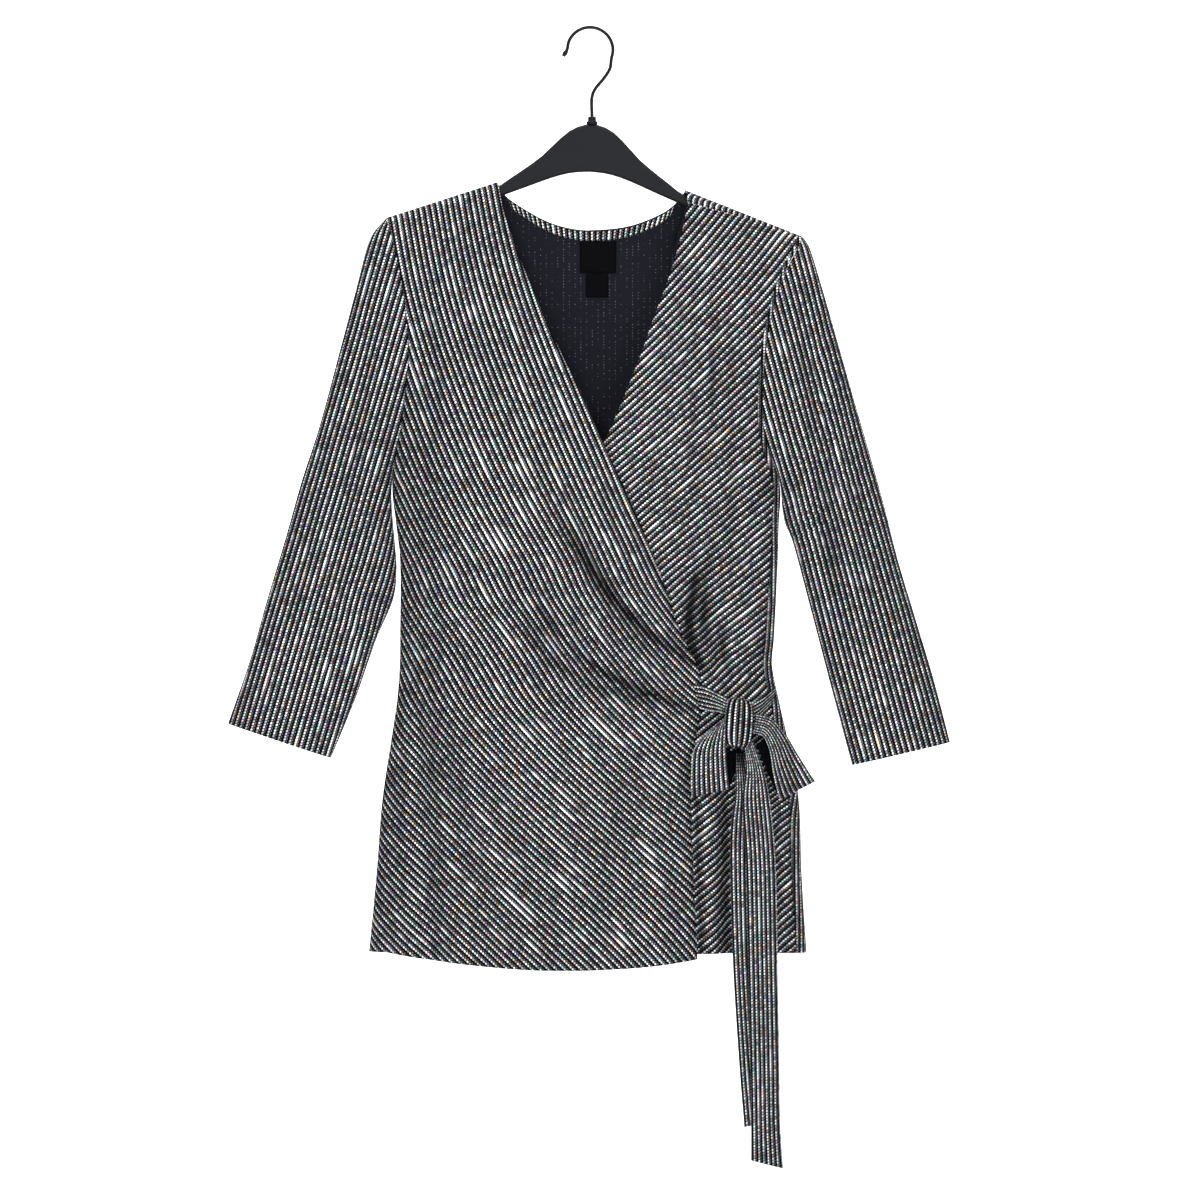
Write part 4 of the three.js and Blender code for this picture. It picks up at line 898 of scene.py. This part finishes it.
# %% The under front
def forward_seam(x):
    """How far the back comes over the viewer's right shoulder."""
    share = (x - NECK_POINT_RIGHT) / (RIGHT_TIP[0] - NECK_POINT_RIGHT)
    return mix(FORWARD_SEAM_NECK, FORWARD_SEAM_TIP, share)


def under_hem(x):
    return UNDER_HEM["z"] - UNDER_HEM["drop"] * (x - UNDER_HEM["x"]) ** 2


under_rows = row_shares(RIGHT_TIP[1], RIGHT_HEM_Z)
under_start_x = float(under_edge(UNDER_TOP_Z))
under_start_z, under_tip_z = (
    float(ridge(x) - drop_after(forward_seam(seam_x) + SEAM_GAP))
    for x, seam_x in ((under_start_x, NECK_POINT_RIGHT), (RIGHT_TIP[0], RIGHT_TIP[0]))
)


def under_left(t):
    z = mix(under_start_z, under_hem(UNDER_EDGE_HEM_X), t)
    return border(under_edge(z), z)


def under_right(t):
    z = np.minimum(under_tip_z, mix(RIGHT_TIP[1], RIGHT_HEM_Z, t))
    return border(right_seam(z), z)


def under_top(s):
    x = mix(under_start_x, RIGHT_TIP[0], s)
    return np.stack([x, forward_seam(x) + SEAM_GAP], -1)


def under_bottom(s):
    x = mix(UNDER_EDGE_HEM_X, right_seam(RIGHT_HEM_Z), s)
    return border(x, under_hem(x))


under_columns = ease_to_right(UNDER_COLUMNS)
under_patch = filled(
    {"left": under_left, "right": under_right, "top": under_top, "bottom": under_bottom},
    under_rows, under_rows, under_columns,
)
panel(
    "front_under_cloth", under_patch, -1, under_relief, under_stripes, 110,
    [(UNDER_FOLDS, COARSE_LIGHT), (FINE_UNDER_FOLDS, 1)],
    strip=int(np.argmax(under_columns > SEAM_SHARE)),
)

# %% The back
NECKLINE = table(
    "x z",
    (-82.8, -138.2),
    (-76.5, -148.5),
    (-63, -158.6),
    (-37.8, -172.4),
    (-12.6, -179.2),
    (13, -179.6),
    (38.3, -175.8),
    (63.5, -166.1),
    (76.1, -157.6),
    (86, -146),
)
neckline = curve_through(NECKLINE, "x", "z")
SHOULDER_COLUMNS, NECK_COLUMNS, TURN_COLUMNS = 26, 48, 9
TIP_SHARE, BACK_FOLD_LIGHT = 0.2, 0.7


def back_hem(x):
    left, right = left_seam(LEFT_HEM_Z), right_seam(RIGHT_HEM_Z)
    across = (x - left) / (right - left)
    return mix(LEFT_HEM_Z, RIGHT_HEM_Z, across) - 4 * BACK_HEM_SAG * across * (1 - across)


def back_top(s):
    """Left shoulder, neckline, then over the right shoulder to the front."""
    x = mix(LEFT_TIP[0], RIGHT_TIP[0], s)
    turn = np.clip((x - NECK_TURN_RIGHT) / (NECK_POINT_RIGHT - NECK_TURN_RIGHT), 0, 1)
    over = -turn * forward_seam(np.maximum(x, NECK_POINT_RIGHT))
    neck = np.maximum(RIDGE_START, way_down(x, neckline(x)))
    near_neck = smooth_step(NECK_POINT_LEFT - NECK_POINT_REACH, NECK_POINT_LEFT, x)
    shoulder = RIDGE_START + NECK_POINT_DROP * near_neck
    way = np.where(x <= NECK_POINT_LEFT, shoulder, np.where(x <= NECK_TURN_RIGHT, neck, over))
    return np.stack([x, way], -1)


def back_left(t):
    z = mix(LEFT_TIP[1], LEFT_HEM_Z, t)
    return border(left_seam(z), z)


def back_right(t):
    z = mix(RIGHT_TIP[1], RIGHT_HEM_Z, t)
    armhole = (UNDERARM_Z - RIGHT_TIP[1]) / (RIGHT_HEM_Z - RIGHT_TIP[1])
    near_tip = 1 - smooth_step(0, armhole * TIP_SHARE, t)
    way = way_down(right_seam(z), z) - forward_seam(RIGHT_TIP[0]) * near_tip
    seam_z = ridge(right_seam(z)) - drop_after(np.abs(way))
    return np.stack([right_seam(seam_z) - SLEEVE_GAP * near_tip, way], -1)


def back_bottom(s):
    x = mix(left_seam(LEFT_HEM_Z), right_seam(RIGHT_HEM_Z), s)
    return border(x, back_hem(x))


width = RIGHT_TIP[0] - LEFT_TIP[0]
neck_start = (NECK_POINT_LEFT - LEFT_TIP[0]) / width
neck_end = (NECK_TURN_RIGHT - LEFT_TIP[0]) / width
seam_start = (NECK_POINT_RIGHT - LEFT_TIP[0]) / width
back_columns = np.concatenate([
    ease_from_left(SHOULDER_COLUMNS) * neck_start,
    np.linspace(neck_start, neck_end, NECK_COLUMNS + 1)[1:],
    np.linspace(neck_end, seam_start, TURN_COLUMNS + 2)[1:-1],
    mix(seam_start, 1, ease_to_right(SHOULDER_COLUMNS)),
])
back_patch = filled(
    {"left": back_left, "right": back_right, "top": back_top, "bottom": back_bottom},
    row_shares(LEFT_TIP[1], LEFT_HEM_Z), row_shares(RIGHT_TIP[1], RIGHT_HEM_Z), back_columns,
)
panel(
    "back_cloth", back_patch, 1, back_relief, straight_stripes, 0,
    [(BACK_FOLDS, BACK_FOLD_LIGHT)],
)

# %% [markdown]
# ## Sleeves
#
# A sleeve is a tube that leaves the armhole, so its first ring is the
# armhole's own line, and the rings after it ease into flat ovals down to the
# cuff. Its stripes run down its length, so at the armhole they meet the
# front's stripes in a herringbone.

# %% Sleeves
LEFT_RINGS = table(
    "out_x out_z in_x in_z depth",
    (-182.7, -170.3, -178.4, -412, 15),
    (-198, -190, -178.6, -419, 15),
    (-210.6, -235, -178.2, -431, 16),
    (-225, -289, -177, -447, 17),
    (-243, -356, -175.3, -465, 18),
    (-259.2, -406, -174, -487, 18),
    (-274.5, -460, -177.3, -514, 18),
    (-290.7, -514, -192.6, -550, 17),
    (-306, -568, -211.5, -604, 16),
    (-325.8, -625, -233.1, -656, 16),
)
RIGHT_RINGS = table(
    "out_x out_z in_x in_z depth",
    (190.8, -187.2, 171.4, -412, 15),
    (198, -199, 171.8, -416, 15),
    (208.8, -233, 172.2, -421, 16),
    (223.2, -282.6, 172.7, -428, 17),
    (238.5, -336.6, 173.5, -435, 18),
    (252, -383.4, 175.9, -446, 18),
    (264.6, -428.4, 182.7, -463, 18),
    (277.2, -478, 193.5, -503, 17),
    (293.4, -532, 207, -554.4, 16),
    (309.6, -586, 221.4, -609.3, 16),
    (324, -641.7, 235.8, -662.4, 16),
)
SLEEVE_FOLDS = table(
    "x0 z0 x1 z1 x2 z2 w0 w2 height open",
    (186, -205, 206, -360, 219, -520, 7, 10, -4.5, 0),
    (214, -330, 231, -430, 247, -560, 9, 12, 3.5, 0),
    (-190, -225, -212, -345, -228, -480, 8, 11, -4, 0),
    (-196, -470, -226, -520, -262, -548, 7, 8, -3, 0),
)
FINE_SLEEVE_FOLDS = table(
    "x0 z0 x1 z1 x2 z2 w0 w2 height open",
    (200, -400, 216, -490, 240, -600, 6, 8, -2.2, 0),
    (258, -430, 272, -520, 296, -610, 7, 9, 2, 0),
    (188, -330, 196, -400, 208, -470, 6, 8, 2, 0),
    (-204, -400, -222, -480, -246, -560, 6, 8, 2, 0),
    (-240, -400, -258, -480, -280, -580, 7, 9, -2.2, 0),
    (-190, -300, -196, -380, -200, -450, 5, 8, 1.8, 0),
)
SLEEVE_AROUND, SLEEVE_ALONG, ALONG_POWER = 128, 120, 1.25
SLEEVE_FLATNESS, ARMHOLE_REACH = 0.75, 0.42
FOLD_START, FOLD_POWER, COARSE_SLEEVE_LIGHT = 0.12, 1.5, 0.4
AXIS_RING = 2


def sleeve(name, rings, tip, seam):
    """Ring point: share (1 - cos angle) / 2 from the outer to the inner fold
    line, depth times sin^0.75. The armhole's line is eased away along it."""
    outward = np.sign(tip[0])
    count = len(rings["out_x"])
    rings = {**rings, "at": np.arange(count) / (count - 1)}
    column = {key: curve_through(rings, "at", key) for key in rings if key != "at"}
    at = (np.arange(SLEEVE_ALONG + 1) / SLEEVE_ALONG)[:, None] ** ALONG_POWER
    turn = np.arange(SLEEVE_AROUND)[None] / SLEEVE_AROUND
    angle = -outward * 2 * np.pi * (turn - 0.5)
    share = (1 - np.cos(angle)) / 2
    sine = np.sin(angle)

    def ring(at):
        y = -column["depth"](at) * np.sign(sine) * np.abs(sine) ** SLEEVE_FLATNESS
        x = mix(column["out_x"](at), column["in_x"](at), share)
        z = mix(column["out_z"](at), column["in_z"](at), share)
        return np.stack([x, y, z], -1)

    hole_z = mix(tip[1], UNDERARM_Z, share)
    hole_x = seam(hole_z)
    way = way_down(hole_x, hole_z)
    rise = np.where(way < QUARTER_ROUND, np.sin(way / SHOULDER_ROUND), 1)
    hole_y = np.where(sine > 0, -1, 1) * rise * half_depth(hole_x, hole_z)
    hole = np.stack([hole_x + outward * SLEEVE_GAP, hole_y, hole_z], -1)
    points = ring(at)
    centre = points.mean(1, keepdims=True)
    pull = np.maximum(0, 1 - at / ARMHOLE_REACH)[..., None] ** 2
    points = points + (hole - ring(np.zeros_like(at[:1]))) * pull
    calm = smooth_step(0, FOLD_START, at) * np.abs(sine) ** FOLD_POWER
    coarse = fold_height(SLEEVE_FOLDS, points[..., 0], points[..., 2])
    fine = fold_height(FINE_SLEEVE_FOLDS, points[..., 0], points[..., 2])
    folds = coarse + fine + ripple(points[..., 0], points[..., 2])
    points[..., 1] -= folds * calm * np.sign(sine)

    run_x, run_z = (rings[key][-1] - rings[key][AXIS_RING] for key in ("out_x", "out_z"))
    axis = np.array([run_x, 0, run_z])
    axis /= np.linalg.norm(axis)
    crosswise = np.array([-axis[2], 0, axis[0]])
    wrapped = np.concatenate([points, points[:, :1]], 1)
    step = np.diff(wrapped, axis=1)
    arc = np.hypot(step @ crosswise, step[..., 1])
    around = np.concatenate([np.zeros((len(points), 1)), np.cumsum(arc, 1)], 1)
    front = int(SLEEVE_AROUND * (0.5 - 0.25 * outward))
    around += (points[:, front] @ crosswise - around[:, front])[:, None]
    cloth = np.stack([wrapped @ axis / DOT_PITCH, around / STRIPE_PERIOD], -1)
    piece = grid_piece(name, points, cloth, points - centre, CLOTH_SIDES, around=True,
                       light=fold_light((COARSE_SLEEVE_LIGHT * coarse + fine) * np.abs(sine)))
    dress(piece, name.replace("_cloth", ""))
    return piece


sleeve("sleeve_left_cloth", LEFT_RINGS, LEFT_TIP, left_seam)
sleeve("sleeve_right_cloth", RIGHT_RINGS, RIGHT_TIP, right_seam)

# %% [markdown]
# ## The bow
#
# The tie is a strip of the same jersey, drawn as one layer, so the insides of
# the loops show the black wrong side; on the tie it is painted darker and duller
# than on the body, as painted shade for the hollows. Each stretch that shows is
# a ribbon swept along its middle line. Where it enters the knot it is squeezed,
# so its stripes crowd together there and fan out below: the cloth coordinate
# across runs from edge to edge however wide the ribbon is.

# %% Ribbons of the tie
TIE_ROOT = table(
    "x z out wx wz",
    (95, -600, 1.8, -3, 11),
    (104, -602, 6.5, -2.6, 11.6),
    (112, -604.5, 10.5, -1, 9.5),
    (121.4, -608.5, 14.8, 1.6, 7),
)
SIDE_STRAP = table(
    "x z out wx wz",
    (165.5, -600.5, -0.6, 2.2, 8),
    (159, -606, 5, 2.6, 9),
    (153, -611, 10.5, 2, 9),
    (144.9, -616, 12.6, 0.4, 8.5),
)
LEFT_LOOP = table(
    "x z out wx wz",
    (116.9, -622.5, 18, 4.3, 3.5),
    (110.5, -634, 20, 11, 3),
    (106.5, -648, 21, 15, 1),
    (106.3, -666, 19.5, 16.4, 1.6),
    (107, -681, 16.5, 17, 3.2),
    (107.6, -686.2, 11, 17, 3.4),
    (108.6, -681, 6.2, 17, 3.2),
    (114, -667, 4.4, 16.4, 2),
    (121, -655, 3.6, 13, 1),
    (126, -648.5, 3.6, 9, 2),
)
RIGHT_LOOP = table(
    "x z out wx wz",
    (146.8, -624, 18.3, 1.4, 8.6),
    (158.8, -628, 21, 4, 8.2),
    (167.8, -641.8, 21.5, 7.2, 8.2),
    (174.8, -660.3, 20.5, 11.2, 8.6),
    (183.3, -679.8, 18, 15.2, 8.2),
    (186.2, -684.7, 14.5, 15.7, 7.9),
    (182.8, -679.6, 11.2, 15.6, 8),
    (172, -662, 10.2, 12.8, 7.6),
    (162.5, -647.5, 10.2, 9.4, 6.5),
    (155, -637.5, 10.6, 6, 5),
)
LONG_TAIL = table(
    "x z out wx wz",
    (141.6, -641.8, 15.5, 4, 1.8),
    (147, -666, 15, 8, 0),
    (148.4, -694, 13.2, 12.4, 0),
    (152.5, -748, 11.2, 13.4, 0),
    (154.4, -838, 11, 13.4, 0),
    (156.2, -928, 11, 13.2, -0.6),
    (157, -980, 11, 13.2, -2),
    (158.3, -1018, 11, 14.4, -4),
)
SHORT_TAIL = table(
    "x z out wx wz",
    (135, -650.5, 10.2, 5, 0),
    (137, -668, 9.4, 7, 0),
    (138.6, -690, 8.8, 9, 0),
    (139, -714, 8.4, 13, 0),
    (138.4, -748, 8.2, 13.2, 0),
    (140.6, -838, 8, 13, 0),
    (145.8, -928, 8, 12.6, -0.6),
    (150, -982, 8, 12.2, 2.5),
)
TIE_PERIOD, RIBBON_ACROSS, PLEAT_REACH, RIBBON_SHADE = 4.4, 24, 0.16, 2.2
NO_SHADE, TAIL_SHADE = {"depth": 0, "reach": 1}, {"depth": 6, "reach": 0.14}
SOFT_PLEATS = {"depth": 0.5, "count": 5, "both_ends": False}
LOOP_PLEATS = {"depth": 0.7, "count": 5, "both_ends": True}
ROOT_PLEATS = {"depth": 0.9, "count": 4, "both_ends": True}


def body_front(x, z):
    """The plain body in front, without its folds: the tie lies before it."""
    return -half_depth(x, z) - WRAP_LAYER


def ribbon(name, rows, steps, crown, flat, pleats, shade=NO_SHADE):
    """Middle line plus a half width vector, bowed forward by crown * (1 - v^2);
    pleats are cosines across that fade away from the gathered ends. The right
    side of the cloth faces the viewer at the start. shade darkens a start that
    lies behind the knot."""
    count = len(rows["x"])
    rows = {**rows, "at": np.arange(count) / (count - 1)}
    column = {key: curve_through(rows, "at", key) for key in rows if key != "at"}
    at = np.linspace(0, 1, steps + 1)[:, None]
    v = np.linspace(-1, 1, RIBBON_ACROSS + 1)[None]
    x = column["x"](at) + v * column["wx"](at)
    z = column["z"](at) + v * column["wz"](at)
    fade = np.exp(-at / PLEAT_REACH)
    if pleats["both_ends"]:
        fade = fade + np.exp(-(1 - at) / PLEAT_REACH)
    fold = pleats["depth"] * np.cos(pleats["count"] * np.pi * v) * fade
    y = body_front(x, z) - column["out"](at) - crown * (1 - v * v) - fold
    points = np.stack([x, y, z], -1)
    middle = points[:, RIBBON_ACROSS // 2]
    length = np.concatenate([[0], np.cumsum(np.linalg.norm(np.diff(middle, axis=0), axis=1))])
    cloth = np.stack([
        (length[:, None] + 0 * v) / DOT_PITCH,
        v * flat[0] / MM / 2 / TIE_PERIOD + 0 * at,
    ], -1)
    normals = grid_normals(points, False)
    start = normals[: steps // 4, :, 1].mean()
    height = fold * RIBBON_SHADE - shade["depth"] * np.exp(-at / shade["reach"])
    piece = grid_piece(name, points, cloth, -np.sign(start) * normals, TIE_SIDES,
                       light=fold_light(height))
    dress(piece, name.replace("_cloth", ""))
    return piece


for settings in (
    ("tie_root_cloth", TIE_ROOT, 48, 3.2, (0.026, 0.034), ROOT_PLEATS),
    ("tie_side_strap_cloth", SIDE_STRAP, 24, 0.8, (0.022, 0.032), SOFT_PLEATS),
    ("tie_loop_left_cloth", LEFT_LOOP, 96, 1.2, (0.034, 0.15), LOOP_PLEATS),
    ("tie_loop_right_cloth", RIGHT_LOOP, 96, 1.2, (0.034, 0.18), LOOP_PLEATS),
    ("tie_tail_long_cloth", LONG_TAIL, 150, 0.8, (0.03, 0.4), SOFT_PLEATS),
    ("tie_tail_short_cloth", SHORT_TAIL, 140, 0.6, (0.03, 0.36), SOFT_PLEATS, TAIL_SHADE),
):
    ribbon(*settings)

# %% [markdown]
# ## The knot
#
# Seen from the front the knot is a band of the tie wound once round the rest,
# with upright pleats. A barrel that narrows towards an open top and bottom
# gives its form, and cosines round it give the pleats.

# %% Knot
KNOT = {"x": 132.8, "z": -623.5, "out": 15.5, "half_width": 12.8, "half_height": 22,
        "half_depth": 8.5, "lean": 1.5, "slant": 0.16, "pleat_depth": 0.14,
        "end": 0.12, "corner": 0.45, "girth": 0.35, "flat_end": 0.8, "stripe_shift": 0.2}
KNOT_RINGS, KNOT_AROUND, KNOT_SHADE = 48, 180, 3.4


def rounded(wave, power):
    """A sine or cosine raised to a power below 1, which squares its circle."""
    return np.sign(wave) * np.abs(wave) ** power


def make_knot():
    """A rounded block: ring radius sin^girth of the way down. The way round its
    middle is summed up, and pleats are cosines of it, one for each stripe. Its
    top and bottom slant down to the right."""
    down = np.linspace(KNOT["end"], np.pi - KNOT["end"], KNOT_RINGS)[:, None]
    turn = np.linspace(0, 2 * np.pi, KNOT_AROUND + 1)[None]
    across, forward = (rounded(wave(turn), KNOT["corner"]) for wave in (np.cos, np.sin))
    step = np.hypot(KNOT["half_width"] * np.diff(across), KNOT["half_depth"] * np.diff(forward))
    around = np.concatenate([[0], np.cumsum(step)])[None]
    around *= round(around[0, -1] / STRIPE_PERIOD) / around[0, -1]
    crease = (1 + np.cos(2 * np.pi * around)) / 2
    pleat = 1 - KNOT["pleat_depth"] * crease
    girth = np.sin(down) ** KNOT["girth"]
    height = rounded(np.cos(down), KNOT["flat_end"])
    x = (KNOT["x"] + KNOT["half_width"] * girth * across + KNOT["lean"] * height)[:, :-1]
    centre_y = body_front(KNOT["x"], KNOT["z"]) - KNOT["out"]
    y = (centre_y + KNOT["half_depth"] * girth * pleat * forward)[:, :-1]
    z = KNOT["z"] + KNOT["half_height"] * height - KNOT["slant"] * (x - KNOT["x"])
    points = np.stack([x, y, z], -1)
    centre = np.array([KNOT["x"], centre_y, KNOT["z"]])
    cloth = np.stack(np.broadcast_arrays(
        -KNOT["half_height"] * height / DOT_PITCH, around - KNOT["stripe_shift"]), -1)
    piece = grid_piece("tie_knot_cloth", points, cloth, points - centre, TIE_SIDES, around=True,
                       light=fold_light(-KNOT_SHADE * crease[:, :-1]))
    dress(piece, "tie_knot")


make_knot()

# %% [markdown]
# ## Inside the neck
#
# The back neckline is finished with a narrow strip of the dotted cloth turned
# to the inside, where its stripes stand across it. Below it sit a woven label
# and a small tab, both of plain black satin here. All three are made from the
# back's own points moved inwards, so they follow its curve.

# %% Neck band, label and tab
PANEL_WALL, TRIM_WALL, TRIM_SHELL, TRIM_END_LIFT = 1.5, 1, 0.8, 5.2
BAND_GRID, LABEL_GRID = (90, 8), (16, 14)
NECK_BAND = {"left": -74, "right": 76, "drop": 1, "width": 8.5, "taper": 0.04}
LABEL = {"left": -9, "right": 23.4, "top": -190.2, "bottom": -218.5}
SIZE_TAB = {"left": -3.6, "right": 16.2, "top": -218.9, "bottom": -240.5}


def make_satin():
    """Black satin: fine ribs across, from a wave on the cloth coordinates."""
    material, tree, shader = new_material("black satin")
    cloth = node(tree, "ShaderNodeUVMap", uv_map="cloth")
    wave = node(tree, "ShaderNodeTexWave", cloth.outputs[0], bands_direction="X")
    wave.inputs["Scale"].default_value = 1.4
    dark, pale = (0.0012, 0.0012, 0.0018, 1), (0.0022, 0.0022, 0.003, 1)
    paint(tree, shader, wave.outputs[0], dark, pale)
    add_bump(tree, shader, wave.outputs[0], 0.2, 0.0001)
    shader.inputs["Roughness"].default_value = 0.65
    shader.inputs["Specular IOR Level"].default_value = 0.04
    return material


satin = make_satin()


def inner_trim(name, x, z, cloth, materials):
    """The back's surface at x, z, moved inwards along its normal."""
    points = body_point(x, way_down(x, z), 1, lambda x, z: fold_height(BACK_FOLDS, x, z))
    normals = grid_normals(points, False)
    normals *= np.sign(normals[..., 1:2])
    clear = PANEL_WALL + SEAM_GAP + TRIM_END_LIFT * (x / NECK_POINT_RIGHT) ** 4 + TRIM_WALL
    points = points - normals * clear[..., None]
    piece = grid_piece(name, points, cloth, np.array([0, -1, 0]), materials, wall=TRIM_SHELL)
    dress(piece, name.replace("_cloth", ""))


def trim_grid(columns, rows):
    return np.linspace(0, 1, columns + 1)[None], np.linspace(0, 1, rows + 1)[:, None]


s, t = trim_grid(*BAND_GRID)
band_x = mix(NECK_BAND["left"], NECK_BAND["right"], s)
band_z = neckline(band_x) - NECK_BAND["drop"] - NECK_BAND["width"] * t
slope = np.gradient(neckline(band_x[0]), band_x[0])
band_length = np.cumsum(np.hypot(1, slope)) * (band_x[0, 1] - band_x[0, 0])
band_cloth = np.stack(np.broadcast_arrays(
    NECK_BAND["width"] * t / DOT_PITCH, band_length[None] / STRIPE_PERIOD), -1)
inner_trim(
    "back_neck_band_cloth", band_x * (1 - NECK_BAND["taper"] * t), band_z, band_cloth,
    [foil_cloth],
)
for name, size, flat in (("neck_label_cloth", LABEL, (0.033, 0.029)),
                         ("size_tab_cloth", SIZE_TAB, (0.02, 0.022))):
    s, t = trim_grid(*LABEL_GRID)
    patch_x = mix(size["left"], size["right"], s) + 0 * t
    patch_z = mix(size["top"], size["bottom"], t) + 0 * s
    inner_trim(name, patch_x, patch_z, np.stack([patch_x, patch_z], -1), [satin])

# %% [markdown]
# ## Hanger and hook
#
# The hanger is moulded in matt black plastic with a softened rim, and its solid
# is already the right shape, so it only gets a material. So do the collar and
# the round wire of the hook.

# %% Hanger plastic and wire
def make_plastic():
    """Matt plastic: a fine grain in the bump and slight wear in the gloss."""
    material, tree, shader = new_material("matt black plastic")
    cloud = object_noise(tree, 30)
    paint(tree, shader, cloud, (0.0035, 0.0042, 0.007, 1), (0.005, 0.0057, 0.009, 1))
    tree.links.new(maths(tree, "MULTIPLY_ADD", cloud, 0.12, 0.5), shader.inputs["Roughness"])
    shader.inputs["Specular IOR Level"].default_value = 0.2
    add_bump(tree, shader, object_noise(tree, 700), 0.15, 0.0002)
    return material


def make_wire():
    material, tree, shader = new_material("black wire")
    grain = object_noise(tree, 400)
    paint(tree, shader, grain, (0.008, 0.008, 0.010, 1), (0.02, 0.02, 0.022, 1))
    tree.links.new(maths(tree, "MULTIPLY_ADD", grain, 0.1, 0.26), shader.inputs["Roughness"])
    shader.inputs["Metallic"].default_value = 0.6
    return material


plastic = make_plastic()
wire_paint = make_wire()
for node_name, material in (
    ("hanger_body", plastic), ("hook_collar", plastic), ("hook", wire_paint),
):
    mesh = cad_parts[node_name].data
    mesh.materials.clear()
    mesh.materials.append(material)

# %% [markdown]
# ## Studio
#
# The picture is taken straight on against pure white. A pale floor that curves
# up into a backdrop has no visible corner. Far back it glows a little, so that
# the ground is pure white, and it stands behind every camera that looks from
# the back. Large soft lights from the front keep shadows faint, and a long lens
# far away keeps the outline undistorted.

# %% Floor and backdrop
FLOOR_Z, FLOOR_FRONT_Y = -1.45, -3.5
SWEEP_Y, SWEEP_RADIUS, SWEEP_WIDTH, SWEEP_TOP = 6.0, 0.8, 4.0, 2.0
GLOW = {"start_y": 0.5, "end_y": 2.8, "start": 0.12, "end": 1.1}


def make_backdrop():
    """Profile: floor, quarter circle, wall; carried along X."""
    bend = np.linspace(0, np.pi / 2, 24)
    wall_y = SWEEP_Y + SWEEP_RADIUS
    y = np.concatenate([[FLOOR_FRONT_Y], SWEEP_Y + SWEEP_RADIUS * np.sin(bend), [wall_y]])
    z = np.concatenate([[FLOOR_Z], FLOOR_Z + SWEEP_RADIUS * (1 - np.cos(bend)), [SWEEP_TOP]])
    x = np.array([-SWEEP_WIDTH, SWEEP_WIDTH])
    points = np.stack(np.broadcast_arrays(x[None], y[:, None], z[:, None]), -1)
    material, tree, shader = new_material("pale paper")
    paint(tree, shader, object_noise(tree, 3), (0.93, 0.93, 0.93, 1), (0.95, 0.95, 0.95, 1))
    shader.inputs["Roughness"].default_value = 0.9
    place = node(tree, "ShaderNodeTexCoord")
    back = node(tree, "ShaderNodeSeparateXYZ", place.outputs["Object"])
    glow = node(tree, "ShaderNodeMapRange", back.outputs[1],
                GLOW["start_y"], GLOW["end_y"], GLOW["start"], GLOW["end"])
    tree.links.new(glow.outputs[0], shader.inputs["Emission Color"])
    shader.inputs["Emission Strength"].default_value = 1
    piece = grid_piece("backdrop", points / MM, points[..., :2], np.array([0, -1, 1]),
                       [material], wall=0)


make_backdrop()

# %% Lights and camera
AIM = (0.009, 0, -0.5139)
LIGHTS = (
    ("key", (-0.45, -3.2, -0.2), AIM, 1.1, 44),
    ("fill", (1.6, -2.8, 0.2), AIM, 1.0, 18),
    ("top light", (0.0, 0.3, 2.2), (0, 2.0, -0.4), 2.4, 90),
)
CAMERA_AWAY, CAMERA_LENS, WORLD_LIGHT = 4.5, 150, 0.4


def make_light(name, place, aim, size, power):
    light = bpy.data.lights.new(name, "AREA")
    light.size, light.energy = size, power
    lamp = bpy.data.objects.new(name, light)
    lamp.location = place
    way = Vector(aim) - Vector(place)
    lamp.rotation_mode = "QUATERNION"
    lamp.rotation_quaternion = way.to_track_quat("-Z", "Y")
    bpy.context.scene.collection.objects.link(lamp)


for settings in LIGHTS:
    make_light(*settings)

world = bpy.data.worlds.new("soft white")
world.use_nodes = True
world.node_tree.nodes["Background"].inputs[0].default_value = (1, 1, 1, 1)
world.node_tree.nodes["Background"].inputs[1].default_value = WORLD_LIGHT
bpy.context.scene.world = world
bpy.context.scene.view_settings.view_transform = "Standard"

camera_data = bpy.data.cameras.new("camera")
camera_data.lens = CAMERA_LENS
camera_data.sensor_width = 36
camera_data.clip_end = 50
camera = bpy.data.objects.new("camera", camera_data)
camera.location = (AIM[0], -CAMERA_AWAY, AIM[2])
camera.rotation_euler = (np.pi / 2, 0, 0)
bpy.context.scene.collection.objects.link(camera)
bpy.context.scene.camera = camera
